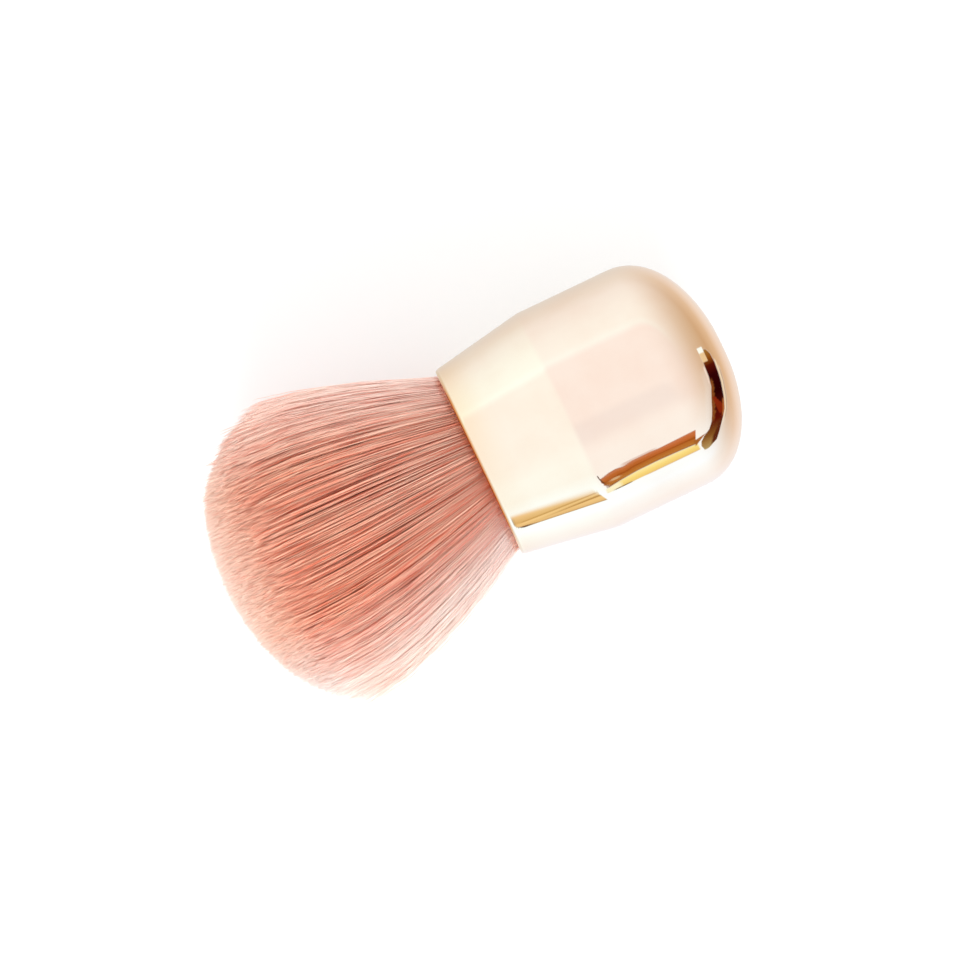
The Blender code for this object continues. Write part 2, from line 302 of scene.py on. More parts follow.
# %% The tones that the metal sees, from straight down to straight up
height = upwards * 0.5 + 0.5
shaded_side = height.ramp([
    (0.000, mirrored(226, 203, 180)),
    (0.067, mirrored(229, 207, 186)),
    (0.180, mirrored(236, 214, 193)),
    (0.329, mirrored(247, 228, 211)),
    (0.500, mirrored(252, 236, 219)),
    (0.700, mirrored(255, 242, 225)),
    (0.755, mirrored(255, 247, 231)),
    (0.780, mirrored(255, 240, 225)),
    (0.805, mirrored(255, 234, 219)),
    (1.000, mirrored(254, 233, 218)),
])
lamp_side = height.ramp([
    (0.000, mirrored(250, 232, 220)),
    (0.150, mirrored(253, 240, 229)),
    (0.290, mirrored(255, 250, 243)),
    (0.360, mirrored(255, 255, 253)),
    (0.520, mirrored(255, 255, 250)),
    (0.740, mirrored(253, 238, 224)),
    (0.860, mirrored(254, 239, 225)),
    (0.940, mirrored(254, 234, 219)),
    (1.000, mirrored(254, 233, 218)),
])
far_end = height.ramp([
    (0.000, mirrored(243, 216, 194)),
    (0.067, mirrored(242, 208, 180)),
    (0.146, mirrored(224, 180, 138)),
    (0.250, mirrored(209, 163, 118)),
    (0.329, mirrored(212, 171, 130)),
    (0.500, mirrored(220, 184, 150)),
    (0.671, mirrored(232, 202, 176)),
    (0.821, mirrored(242, 216, 197)),
    (0.933, mirrored(250, 226, 209)),
    (1.000, mirrored(254, 233, 218)),
])
print("three ramps of tones, for the shaded side, the lamp's side and the far end")

# %% Which way is which
LAMP_SIDE = (-0.3, 0.3)
NEAR_END = (0.0, 0.3)
NEAR_END_GAIN = (1.01, 1.09, 1.07, 1)
DIM_STRIP = (0.94, 0.935, 0.945, 1)
DIM_FROM = (0.04, 0.22)
DIM_TO = (0.36, 0.62)
DIM_HEIGHT = (0.6, 0.8)

level = (forwards * forwards + aside * aside) ** 0.5 + NEVER_ZERO
to_far_end = (forwards / level).clamped(0, 1) ** 2
to_near_end = (0 - forwards).step(*NEAR_END)
to_lamp = (0 - aside / level).step(*LAMP_SIDE)
plain = to_lamp.mixed(shaded_side, lamp_side)
in_metal = to_far_end.mixed(plain, far_end)
in_metal = to_near_end.mixed(in_metal, NEAR_END_GAIN, "MULTIPLY")
dim = (0 - aside).step(*DIM_FROM) * (1 - (0 - aside).step(*DIM_TO)) * upwards.step(*DIM_HEIGHT)
dim = dim * (1 - to_near_end) * (1 - to_far_end)
in_metal = dim.mixed(in_metal, DIM_STRIP, "MULTIPLY")
camera_ray = tent.node("LightPath", output="Is Camera Ray")
seen_color = camera_ray.mixed(in_metal, (1, 1, 1, 1))
color = seen_share(tent).mixed(lighting, seen_color)
tent.node("OutputWorld", None, {"Surface": tent.node("Background", None, {"Color": color})})
print("the world has", len(tent.tree.nodes), "nodes")

# %% [markdown]
# The table is one big white face. A matt white alone would render grey where the tent's light is
# weak, so the camera and clear things also see a little glow in it. The glow lights nothing, and
# the brush's faint shadow stays.

# %% The table
FLOOR_SIZE = 8
FLOOR_WHITE = (0.92, 0.92, 0.915, 1)
FLOOR_GLOW = 0.30

floor_material, tree = new_material("white_table")
matt = tree.node("BsdfDiffuse", None, {"Color": FLOOR_WHITE})
glow = tree.node("Emission", None, {"Color": (1, 1, 1, 1), "Strength": 1.0})
share = seen_share(tree) * FLOOR_GLOW
both = tree.node("MixShader", None, {0: share, 1: matt, 2: glow})
tree.node("OutputMaterial", None, {"Surface": both})
bm = bmesh.new()
bmesh.ops.create_grid(bm, x_segments=1, y_segments=1, size=FLOOR_SIZE / 2)
table = finished(bm, "table", Matrix.Identity(4))
table.data.materials.append(floor_material)
table.visible_glossy = False
table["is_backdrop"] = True

# %% [markdown]
# Two large, soft lamps stand low beside the tuft. They rake its top, which brings out its
# strands, and light its flanks. The stronger one is on the side that the photograph's lower right
# shows, so the faint shadow falls on the other. Neither is seen in the polished metal.

# %% Lamps
LAMP_SIZE = 0.7
LAMPS = (
    ("main_lamp", 14.0, Vector((-0.28, -0.86, 0.40))),
    ("second_lamp", 5.8, Vector((-0.30, 0.88, 0.36))),
)

for name, power, place in LAMPS:
    lamp = bpy.data.objects.new(name, bpy.data.lights.new(name, "AREA"))
    scene.collection.objects.link(lamp)
    lamp.data.shape = "DISK"
    lamp.data.size = LAMP_SIZE
    lamp.data.energy = power
    lamp.location = place
    lamp.rotation_euler = (-place).to_track_quat("-Z", "Y").to_euler()
    lamp.visible_glossy = False
    print(name, "at", [round(value, 2) for value in place])

# %% [markdown]
# A polished handle shows its surroundings. In the photograph a gold band is mirrored along its
# collar, a brown and gold one along its body and a dark crescent on its crown. What a mirror
# shows at a spot depends on the spot's slope. So a card stands round the brush, and every corner
# of its grid lies where one spot of the handle looks. Its map holds that spot's depth and
# sideways place, so the bands can be drawn on it as they run along the handle. Only the metal
# sees the card: it neither lights nor shades anything.

# %% Where the handle looks
CREASE_REACH = CREASE_FILLET * math.tan(math.atan((BODY_RADIUS - MOUTH_RADIUS) / COLLAR_LENGTH) / 2)
CARD_DISTANCE = 0.06
ABOVE_TABLE = 0.75


def outer_radius(depth):
    """The handle's outer radius at a depth."""
    if depth > CROWN_START:
        land_share = STAND_RADIUS / BODY_RADIUS
        height = CROWN_LENGTH / (1 - land_share ** CROWN_FULLNESS) ** (1 / CROWN_FULLNESS)
        rise = min((depth - CROWN_START) / height, 1)
        return BODY_RADIUS * (1 - rise ** CROWN_FULLNESS) ** (1 / CROWN_FULLNESS)
    if depth > COLLAR_LENGTH:
        return BODY_RADIUS
    rounding = 1 - min(depth / LIP_LENGTH, 1)
    lip_drop = SHELL_WALL / 2 * (1 - math.sqrt(1 - rounding ** 2))
    return MOUTH_RADIUS + (BODY_RADIUS - MOUTH_RADIUS) * depth / COLLAR_LENGTH - lip_drop


def mirrored_place(depth, share):
    """What the camera sees mirrored at this depth and share of the radius sideways.

    It gives the place in the surroundings, and the spot's own depth and sideways place in the
    picture, which is drawn at the mouth's height.
    """
    step = CREASE_REACH if abs(depth - COLLAR_LENGTH) < CREASE_REACH * 2 else SHELL_WALL / 100
    slope = (outer_radius(depth + step) - outer_radius(depth - step)) / (2 * step)
    radius = outer_radius(depth)
    lift = math.sqrt(1 - share ** 2)
    normal = Vector((-slope, -share, lift)).normalized()
    spot = Vector((mouth_x + depth, -share * radius, axis_height + lift * radius))
    sight = (spot - camera.location).normalized()
    ray = sight - 2 * sight.dot(normal) * normal
    distance = CARD_DISTANCE
    if ray.z < 0:
        distance = min(distance, ABOVE_TABLE * spot.z / -ray.z)
    drawn = camera.location + sight * (CAMERA_HEIGHT / -sight.z)
    return spot + ray * distance, drawn.x - mouth_x, -drawn.y


print("the middle of the body mirrors", tuple(round(v, 3) for v in mirrored_place(0.02, 0)[0]))

# %% [markdown]
# The card starts as a flat grid. Its rows follow the handle from the lip to the crown, and are
# closer together where the slope changes fast. Its columns go sideways over the part of the
# handle that mirrors a band, and over the crown they reach further. Every corner is then moved to
# the place that its spot mirrors.

# %% The card's grid
MAP_LENGTH = 0.038
MAP_WIDTH = 0.036
BAND_LOWEST = 0.49
CRESCENT_LOWEST = -0.17
CRESCENT_START = 0.0285
CRESCENT_FULL = 0.0315
HIGHEST_SHARE = 0.765
SHARE_STEPS = 96
FIRST_ROW_SHARE = 0.15
LAST_ROW_GAP = 0.0008
LIP_ROWS = 8
SIDE_ROWS = 10
CREASE_ROWS = 16
CROWN_ROWS = 46


def spaced(start, end, count):
    """This many depths from start up to end, without end itself."""
    return [start + (end - start) * step / count for step in range(count)]


crease_from = COLLAR_LENGTH - 2 * CREASE_REACH
crease_to = COLLAR_LENGTH + 2 * CREASE_REACH
card_depths = spaced(LIP_LENGTH * FIRST_ROW_SHARE, LIP_LENGTH, LIP_ROWS)
card_depths += spaced(LIP_LENGTH, crease_from, SIDE_ROWS)
card_depths += spaced(crease_from, crease_to, CREASE_ROWS)
card_depths += spaced(crease_to, CROWN_START, SIDE_ROWS)
card_depths += spaced(CROWN_START, HANDLE_LENGTH - LAST_ROW_GAP, CROWN_ROWS)
bm = bmesh.new()
bmesh.ops.create_grid(
    bm, x_segments=len(card_depths) - 1, y_segments=SHARE_STEPS, size=1, calc_uvs=False
)
uv = bm.loops.layers.uv.new("spot")
for vert in bm.verts:
    depth = card_depths[round((vert.co.x + 1) / 2 * (len(card_depths) - 1))]
    opened = (depth - CRESCENT_START) / (CRESCENT_FULL - CRESCENT_START)
    lowest = BAND_LOWEST + (CRESCENT_LOWEST - BAND_LOWEST) * min(max(opened, 0), 1)
    share = lowest + (HIGHEST_SHARE - lowest) * (vert.co.y + 1) / 2
    vert.co, drawn_depth, drawn_aside = mirrored_place(depth, share)
    for loop in vert.link_loops:
        loop[uv].uv = (drawn_depth / MAP_LENGTH, 0.5 + drawn_aside / MAP_WIDTH)
card = finished(bm, "mirrored_card", Matrix.Identity(4))
card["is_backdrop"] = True
for kind in ("camera", "diffuse", "transmission", "shadow", "volume_scatter"):
    setattr(card, "visible_" + kind, False)

# %% [markdown]
# The bands are drawn on the card in layers, like paint: each layer is a mask and a colour. Depth
# and sideways place are counted in picture pixels here, from the middle of the mouth, because
# that is how the photograph gives them. A band's limits are written as a start, an end and how
# soft both are.

# %% Layers on the card
ALONG_SHIFT = 0.7
ASIDE_SHIFT = 1.1
BLOB_EDGE = (0.5, 1.3)
STREAK_STRETCH = (0.02, 0.35)

card_material, tree = new_material("mirrored_bands")
spot = tree.node("UVMap", {"uv_map": "spot"})
along = tree.node("SeparateXYZ", None, {0: spot}, "X") * (MAP_LENGTH / pixel) - ALONG_SHIFT
aside = (tree.node("SeparateXYZ", None, {0: spot}, "Y") - 0.5) * (MAP_WIDTH / pixel) - ASIDE_SHIFT
layers = {"color": mirrored(255, 255, 250), "cover": 0, "count": 0}


def lay(mask, color, strength=1):
    """Puts one more layer over those on the card."""
    if strength < 1:
        mask = mask * strength
    layers["color"] = mask.mixed(layers["color"], color)
    layers["cover"] = layers["cover"] + mask - mask * layers["cover"]
    layers["count"] += 1


def between(value, low, high, soft=0.5):
    """1 where the value lies between two limits, with soft edges."""
    return value.step(low - soft, low + soft) * (1 - value.step(high - soft, high + soft))


def blob(middle_along, middle_aside, half_length, half_width):
    """A soft oval spot."""
    far = ((along - middle_along) / half_length) ** 2 + ((aside - middle_aside) / half_width) ** 2
    return 1 - far.step(*BLOB_EDGE)


streak_place = tree.node("CombineXYZ", None, {
    "X": along * STREAK_STRETCH[0],
    "Y": aside * STREAK_STRETCH[1],
})
streaks = tree.node("TexNoise", None, {"Vector": streak_place, "Scale": 1.0, "Detail": 3.0})
uneven = streaks - 0.5
print("the card's map is", round(MAP_LENGTH / pixel), "by", round(MAP_WIDTH / pixel), "picture pixels")

# %% [markdown]
# The collar mirrors a gold strip with a few fine lines along its foot. The collar widens towards
# the body and the strip widens with it, so its edges lie at fixed shares of the collar's own half
# width. A painted picture could show it too, but sums keep its lines sharp at any size.

# %% The gold band of the collar
MOUTH_HALF_WIDTH = 101.6
COLLAR_WIDENING = 0.1694
GOLD_TOP = 0.56
GOLD_TOP_FULL = 0.625
GOLD_TOP_DRIFT = 0.0006
GOLD_FOOT = (0.737, 0.745)
GOLD_SPREAD = 0.18
GOLD_START = 4.4
START_CURL = 10
START_CURL_FROM = 0.685
START_CURL_OVER = 0.062
GOLD_END = 88
GOLD_END_SLANT = 0.55
GOLD_END_FROM = 66
GOLD_END_SOFT = 0.8
LINES_ALONG = (12, 93, 2)
UPPER_LINE_DRIFT = 0.00044
BROWN_LINE = (0.690, 0.700, 0.004)
FAIR_LINE = (0.703, 0.714, 0.004)
LOWER_LINE_DRIFT = 0.00045
LOWER_LINE = (0.722, 0.733, 0.004)
LOWER_LINE_FADE_IN = (20, 80)
FOOT_LINE = (0.733, 0.743, 0.003)
START_RIM = (0.4, 2.0)
START_RIM_TOP = (0.585, 0.66)
START_RIM_FOOT = (0.742, 0.747)
CORNER = (0.728, 0.744, 0.003)
CORNER_FADE_OUT = (11, 30)

turn = aside / (along * COLLAR_WIDENING + MOUTH_HALF_WIDTH)
start = ((turn - START_CURL_FROM) / START_CURL_OVER).clamped(0, 1) ** 3 * START_CURL + GOLD_START
end = (aside - GOLD_END_FROM) * GOLD_END_SLANT + GOLD_END
inside = between(along, start, end, GOLD_END_SOFT)
gold = ((turn - GOLD_TOP) / GOLD_SPREAD).ramp([
    (0.00, mirrored(253, 230, 192)),
    (0.25, mirrored(247, 206, 150)),
    (0.50, mirrored(234, 192, 127)),
    (0.68, mirrored(224, 180, 110)),
    (0.80, mirrored(244, 201, 132)),
    (1.00, mirrored(224, 180, 116)),
])
full = GOLD_TOP_FULL + along * GOLD_TOP_DRIFT
lay(turn.step(GOLD_TOP, full) * (1 - turn.step(*GOLD_FOOT)) * inside, gold)
upper_line = turn + along * UPPER_LINE_DRIFT
on_lines = inside * between(along, *LINES_ALONG)
lay(between(upper_line, *BROWN_LINE) * on_lines, mirrored(188, 136, 68), 0.6)
lay(between(upper_line, *FAIR_LINE) * on_lines, mirrored(250, 212, 146), 0.6)
lower_line = between(turn + along * LOWER_LINE_DRIFT, *LOWER_LINE)
lay(lower_line * inside * along.step(*LOWER_LINE_FADE_IN), mirrored(172, 120, 56), 0.8)
lay(between(turn, *FOOT_LINE) * inside, mirrored(178, 128, 74), 0.6)
rim = turn.step(*START_RIM_TOP) * (1 - (along - start).step(*START_RIM)) * inside
lay(rim * (1 - turn.step(*START_RIM_FOOT)), mirrored(124, 78, 34), 0.9)
lay(between(turn, *CORNER) * inside * (1 - along.step(*CORNER_FADE_OUT)), mirrored(96, 54, 20))
print(layers["count"], "layers once the collar's band is on the card")

# %% [markdown]
# Along the body the metal mirrors a brown band over a bright yellow one, with thin lines at their
# foot. Their edges wave a little, so each edge is a curve through a few chosen points. Noise that
# is stretched along the band makes its start ragged and its tones streaky.

# %% The brown and yellow bands of the body
ALONG_SPAN = 280
ASIDE_SPAN = 100
BODY_START = 100.0
START_BOW = 7
START_BOW_FROM = 60
START_BOW_OVER = 18
BODY_END = 210.4
BODY_END_SLANT = 0.45
BODY_END_FROM = 61
BROWN_START = 1.2
BROWN_START_SLANT = 0.18
BROWN_START_FROM = 62
BROWN_END_SOFT = 0.7
RAGGED_START = 5
RAGGED_TONE = 0.35
YELLOW_TOP = 74
YELLOW_WIDTH = 9

by_length = along / ALONG_SPAN
top = by_length.curve([
    (0.37, 0.66), (0.40, 0.64), (0.43, 0.632), (0.46, 0.645),
    (0.49, 0.628), (0.57, 0.628), (0.60, 0.634), (0.76, 0.625),
]) * ASIDE_SPAN
seam = by_length.curve([
    (0.37, 0.78), (0.43, 0.76), (0.50, 0.746), (0.58, 0.744), (0.66, 0.75), (0.74, 0.76),
]) * ASIDE_SPAN
start = ((aside - START_BOW_FROM) / START_BOW_OVER) ** 2 * START_BOW + BODY_START
end = BODY_END - (aside - BODY_END_FROM) * BODY_END_SLANT
brown_start = start + BROWN_START - (aside - BROWN_START_FROM) * BROWN_START_SLANT
inside = between(along, brown_start + uneven * RAGGED_START, end, BROWN_END_SOFT)
brown_share = (aside - top) / (seam - top) + uneven * RAGGED_TONE
brown = brown_share.ramp([
    (0.00, mirrored(170, 96, 58)),
    (0.12, mirrored(200, 120, 76)),
    (0.27, mirrored(192, 104, 46)),
    (0.42, mirrored(184, 98, 40)),
    (0.51, mirrored(158, 76, 18)),
    (0.60, mirrored(182, 102, 38)),
    (0.86, mirrored(188, 117, 47)),
    (1.00, mirrored(150, 86, 26)),
])
yellow = ((aside - YELLOW_TOP) / YELLOW_WIDTH).ramp([
    (0.0, mirrored(255, 240, 172)),
    (0.5, mirrored(251, 218, 126)),
    (1.0, mirrored(238, 196, 108)),
])
print("the brown band starts", BODY_START, "pixels from the mouth")

# %% The layers of the body's bands
YELLOW_FOOT = 82.4
YELLOW_ALONG = (102.8, 206, 1.6)
GLINT = (111, 80, 9, 5)
FOOT_LINES = (
    ((81.7, 82.7, 0.4), (111, 130, 1.5), mirrored(124, 84, 34), 1),
    ((81.9, 82.8, 0.5), (146, 205, 4), mirrored(206, 150, 92), 0.6),
)
EDGE_SOFT = 0.6
RED_EDGE = 5
RED_EDGE_SOFT = 1.2
RED_EDGE_FADE_IN = (140, 172)
START_LINE = 1.4
START_LINE_ASIDE = (62, 77.5, 1)
PALE_SPOT = (116, 72, 6, 1.3)
SHEEN_TOP = 61.2
SHEEN_SOFT = 0.9
SHEEN_ALONG = (126, 166, 5)
TAIL_ALONG = (203, 222, 1)
TAIL_FROM = 206
TAIL_TOP = 71.6
TAIL_TOP_SLANT = 0.15
TAIL_FOOT = 76
TAIL_FOOT_SLANT = 0.5

fair = between(aside, seam, YELLOW_FOOT)
lay(fair * between(along, *YELLOW_ALONG), yellow)
lay(fair * blob(*GLINT), mirrored(255, 248, 214), 0.8)
for across, length, color, strength in FOOT_LINES:
    lay(between(aside, *across) * between(along, *length), color, strength)
lay(between(aside, top, seam, EDGE_SOFT) * inside, brown)
red_edge = between(aside, top, top + RED_EDGE, RED_EDGE_SOFT) * inside
lay(red_edge * along.step(*RED_EDGE_FADE_IN), mirrored(206, 104, 52), 0.3)
start_line = between(along - start, 0, START_LINE) * between(aside, *START_LINE_ASIDE)
lay(start_line, mirrored(104, 60, 30))
lay(blob(*PALE_SPOT), mirrored(226, 190, 142), 0.7)
sheen = between(aside, SHEEN_TOP, top, SHEEN_SOFT) * between(along, *SHEEN_ALONG)
lay(sheen, mirrored(208, 146, 112), 0.8)
past_end = along - TAIL_FROM
tail = between(aside, TAIL_TOP - past_end * TAIL_TOP_SLANT, TAIL_FOOT - past_end * TAIL_FOOT_SLANT)
lay(tail * between(along, *TAIL_ALONG), mirrored(168, 98, 40))
print(layers["count"], "layers once the body's bands are on the card")

# %% [markdown]
# The crown bends every way at once, so what stands at one side of the handle is squeezed into a
# dark crescent there. Its two edges are curves again, this time sideways across the picture, and
# its tone runs from brown at the top through near black to olive at its foot.

# %% The crescent of the crown
CROSS_SPAN = 110
CROSS_SHIFT = 0.2
CRESCENT_ASIDE = (-6.5, 85, 0.8)

by_width = aside / CROSS_SPAN + CROSS_SHIFT
inner = by_width.curve([
    (0.000, 0.893), (0.236, 0.893), (0.244, 0.876), (0.382, 0.872), (0.473, 0.866), (0.545, 0.853),
    (0.600, 0.8436), (0.655, 0.835), (0.709, 0.825), (0.764, 0.8125), (0.818, 0.793), (0.855, 0.766),
    (0.891, 0.748), (0.927, 0.742), (0.964, 0.7465),
]) * ALONG_SPAN
outer = by_width.curve([
    (0.127, 0.896), (0.150, 0.905), (0.200, 0.9125), (0.290, 0.9136), (0.382, 0.910), (0.473, 0.9046),
    (0.545, 0.897), (0.600, 0.8914), (0.655, 0.883), (0.709, 0.874), (0.764, 0.859), (0.818, 0.841),
    (0.873, 0.823), (0.927, 0.8036), (0.955, 0.7786), (0.977, 0.757),
]) * ALONG_SPAN
crescent = between(along, inner, outer) * between(aside, *CRESCENT_ASIDE)
dark = by_width.ramp([
    (0.16, mirrored(158, 106, 44)),
    (0.23, mirrored(140, 74, 18)),
    (0.29, mirrored(84, 16, 4)),
    (0.38, mirrored(50, 3, 5)),
    (0.53, mirrored(42, 2, 2)),
    (0.60, mirrored(58, 8, 5)),
    (0.70, mirrored(82, 14, 7)),
    (0.76, mirrored(92, 16, 6)),
    (0.82, mirrored(112, 58, 22)),
    (0.87, mirrored(132, 82, 32)),
    (0.92, mirrored(164, 122, 66)),
    (0.97, mirrored(178, 150, 96)),
])
lay(crescent, dark)
print(layers["count"], "layers with the crescent")

# %% What shows inside and beside the crescent
INNER_STRIP = (0.16, 0.34)
INNER_STRIP_UNEVEN = 0.4
INNER_STRIP_ASIDE = (24, 62, 3)
OUTER_STRIP = (0.62, 0.8)
OUTER_STRIP_UNEVEN = 0.3
OUTER_STRIP_ASIDE = (64, 82, 2)
PATCH_START = 238.4
PATCH_END = 242.5
PATCH_END_SLANT = 0.45
PATCH_END_FROM = 44
PATCH_UNEVEN = 3
PATCH_SOFT = 0.8
PATCH_ASIDE = (40.5, 58, 1.5)
GLEAM = (0.8, 0.92)
GLEAM_ASIDE = (46, 61, 2)
HALO = 9
HALO_SOFT = 0.2
HALO_ASIDE = (16, 64, 8)
EDGE_LINES = (
    (inner, (-1.9, -0.5, 0.4), (10, 27, 2), mirrored(253, 226, 206), 0.7),
    (outer, (0.6, 1.6, 0.4), (8, 68, 3), mirrored(246, 218, 166), 0.9),
    (outer, (1.9, 3.1, 0.4), (16, 66, 4), mirrored(170, 120, 66), 0.8),
)
WINDOW_ALONG = (245.2, 250.4, 0.4)
WINDOW_TAN = (-4.4, 5.5, 0.6)
WINDOW_WHITE = (-10, -4.2, 0.7)

edge_share = (along - inner) / (outer - inner)
inner_strip = 1 - (edge_share + uneven * INNER_STRIP_UNEVEN).step(*INNER_STRIP)
lay(crescent * inner_strip * between(aside, *INNER_STRIP_ASIDE), mirrored(134, 72, 28))
outer_strip = (edge_share + uneven * OUTER_STRIP_UNEVEN).step(*OUTER_STRIP)
lay(crescent * outer_strip * between(aside, *OUTER_STRIP_ASIDE), mirrored(92, 38, 16))
patch_end = (aside - PATCH_END_FROM) * PATCH_END_SLANT + PATCH_END + uneven * PATCH_UNEVEN
patch = between(along, PATCH_START, patch_end, PATCH_SOFT) * between(aside, *PATCH_ASIDE)
lay(patch * crescent, mirrored(136, 40, 12), 0.9)
lay(crescent * edge_share.step(*GLEAM) * between(aside, *GLEAM_ASIDE), mirrored(172, 98, 46))
halo = between(along, inner - HALO, inner, HALO_SOFT) * (1 - (inner - along).step(0, HALO))
lay(halo * between(aside, *HALO_ASIDE), mirrored(190, 142, 102), 0.55)
for edge, from_edge, across, color, strength in EDGE_LINES:
    lay(between(along - edge, *from_edge) * between(aside, *across), color, strength)
window = between(along, *WINDOW_ALONG)
lay(window * between(aside, *WINDOW_TAN), mirrored(236, 198, 146))
lay(window * between(aside, *WINDOW_WHITE), mirrored(255, 255, 240))
print(layers["count"], "layers in all")

# %% [markdown]
# The card shines with its layers' colours, and is clear where no layer covers it, so the metal
# sees the tent there. An emission shader is right for it, because a card that only a mirror sees
# needs no light of its own.

# %% The card's shader
shine = tree.node("Emission", None, {"Color": layers["color"], "Strength": 1.0})
clear = tree.node("BsdfTransparent")
both = tree.node("MixShader", None, {0: layers["cover"].clamped(0, 1), 1: clear, 2: shine})
tree.node("OutputMaterial", None, {"Surface": both})
card.data.materials.append(card_material)
print("the card's material has", len(tree.tree.nodes), "nodes")

# %% [markdown]
# The handle's shell is one drawn and polished wall. It is a full spin of its profile: the crown's
# curve, the rounded crease where the straight body meets the tapered collar, and the lip, which
# is a full round. The CAD shell has the same profile in fewer steps.

# %% Handle shell
SPIN_STEPS = 192
CROWN_STEPS = 40
LIP_STEPS = 12
CREASE_STEPS = 12
STRAIGHT_STEPS = 8
SUPPORT_GAP = 0.00008
MERGE_DISTANCE = 0.000001


def arc(centre, radius, start, end, steps):
    """Points on an arc across the profile, as radius and depth; angles in radians."""
    points = []
    for step in range(steps + 1):
        angle = start + (end - start) * step / steps
        points.append((centre[0] + radius * math.cos(angle), centre[1] + radius * math.sin(angle)))
    return points


def crown_profile(inset):
    """The crown's curve from its flat end down to the straight body."""
    half_width = BODY_RADIUS - inset
    land_share = STAND_RADIUS / half_width
    height = (CROWN_LENGTH - inset) / (1 - land_share ** CROWN_FULLNESS) ** (1 / CROWN_FULLNESS)
    land_angle = math.acos(land_share ** (CROWN_FULLNESS / 2))
    power = 2 / CROWN_FULLNESS
    points = []
    for step in range(CROWN_STEPS + 1):
        angle = land_angle * (1 - step / CROWN_STEPS)
        points.append((
            half_width * math.cos(angle) ** power,
            CROWN_START + height * math.sin(angle) ** power,
        ))
    return points


def crease_profile(inset):
    """The crease's arc: it touches the body's side and the collar's cone."""
    cone = math.atan((BODY_RADIUS - MOUTH_RADIUS) / COLLAR_LENGTH)
    reach = CREASE_FILLET * math.tan(cone / 2)
    radius = CREASE_FILLET - inset
    centre = (BODY_RADIUS - CREASE_FILLET, COLLAR_LENGTH + reach)
    return arc(centre, radius, 0, -cone, CREASE_STEPS)


def straight_profile(start, end):
    """Rings along a straight side, close together at its ends, so that its shading is straight."""
    depths = [start + SUPPORT_GAP] + spaced(start, end, STRAIGHT_STEPS)[1:] + [end - SUPPORT_GAP]
    return [(outer_radius(depth), depth) for depth in depths]


half_wall = SHELL_WALL / 2
collar_end = COLLAR_LENGTH - CREASE_REACH
body_start = COLLAR_LENGTH + CREASE_REACH
lip = []
for step in range(LIP_STEPS + 1):
    depth = LIP_LENGTH * (1 - math.sin(math.pi / 2 * step / LIP_STEPS))
    lip.append((outer_radius(depth), depth))
lip += arc((MOUTH_RADIUS - half_wall, half_wall), half_wall, -math.pi / 2, -math.pi, LIP_STEPS)[1:]
profile = [(0, HANDLE_LENGTH)] + crown_profile(0)
profile += straight_profile(body_start, CROWN_START)[::-1]
profile += crease_profile(0) + straight_profile(LIP_LENGTH, collar_end)[::-1] + lip
profile += crease_profile(SHELL_WALL)[::-1] + crown_profile(SHELL_WALL)[::-1]
profile.append((0, HANDLE_LENGTH - SHELL_WALL))

bm = bmesh.new()
verts = [bm.verts.new((radius, 0, depth)) for radius, depth in profile]
edges = [bm.edges.new(pair) for pair in zip(verts, verts[1:])]
bmesh.ops.spin(
    bm,
    geom=verts + edges,
    cent=(0, 0, 0),
    axis=(0, 0, 1),
    angle=2 * math.pi,
    steps=SPIN_STEPS,
    use_merge=True,
)
bmesh.ops.remove_doubles(bm, verts=bm.verts[:], dist=MERGE_DISTANCE)
shell = finished(bm, "polished_shell")
shell.data.shade_smooth()
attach(shell, "root")
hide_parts("handle_shell")

# %% [markdown]
# The metal is rose gold plate on a light alloy. A metal has no colour of its own beyond the tint
# that it gives to reflections, so the base colour is that tint. The polish varies a little, and
# very fine rings are left from the lathe. Near the mouth a painted reflection of the fibres makes
# the tint warmer, more on one side than the other. On the lip, which is turned in, a painted
# reflection of the fibres beside it makes the tint a deep orange gold that fades towards the
# handle's sides. Both run along the axis, so they read the object's coordinates.

# %% Rose gold
MOUTH_FIBRE_REFLECTION = (0.97, 0.71, 0.49, 1)
MOUTH_REFLECTION_REACH = (-0.001, 0.0055)
MOUTH_REFLECTION_ACROSS = (-0.006, 0.006)
MOUTH_REFLECTION_LEAST = 0.35
MOUTH_REFLECTION_STRENGTH = 0.8
LIP_FIBRE_REFLECTION = (0.66, 0.235, 0.055, 1)
LIP_REFLECTION_REACH = (0.00012, 0.00050)
LIP_REFLECTION_SIDES = (0.0085, 0.0135)
LIP_REFLECTION_LOSS = 0.7
CLOUD_SCALE = 160.0
CLOUD_EDGE = (0.35, 0.75)
RING_STRETCH = (9000.0, 60.0, 60.0)
RING_DEPTH = 0.00002
POLISH = 0.03
CLOUD_ROUGHNESS = 0.02
RING_ROUGHNESS = 0.015

rose_gold, tree = new_material("rose_gold")
place = tree.node("TexCoord", output="Object")
cloud = tree.node("TexNoise", None, {"Vector": place, "Scale": CLOUD_SCALE, "Detail": 3.0})
stretched = tree.node("Mapping", None, {"Vector": place, "Scale": RING_STRETCH})
rings = tree.node("TexNoise", None, {"Vector": stretched, "Scale": 1.0, "Detail": 2.0})
from_mouth = tree.node("SeparateXYZ", None, {0: place}, "X") - mouth_x
sideways = tree.node("SeparateXYZ", None, {0: place}, "Y")
plated = cloud.step(*CLOUD_EDGE).mixed(ROSE_GOLD, ROSE_GOLD_WORN)
# Painted reflection of the fibres: a warmer tint near the mouth, stronger on one side.
mouth_reflection_share = MOUTH_REFLECTION_LEAST + (1 - MOUTH_REFLECTION_LEAST) * sideways.step(*MOUTH_REFLECTION_ACROSS)
painted_mouth_reflection = (1 - from_mouth.step(*MOUTH_REFLECTION_REACH)) * mouth_reflection_share
tone = (painted_mouth_reflection * MOUTH_REFLECTION_STRENGTH).mixed(plated, MOUTH_FIBRE_REFLECTION)
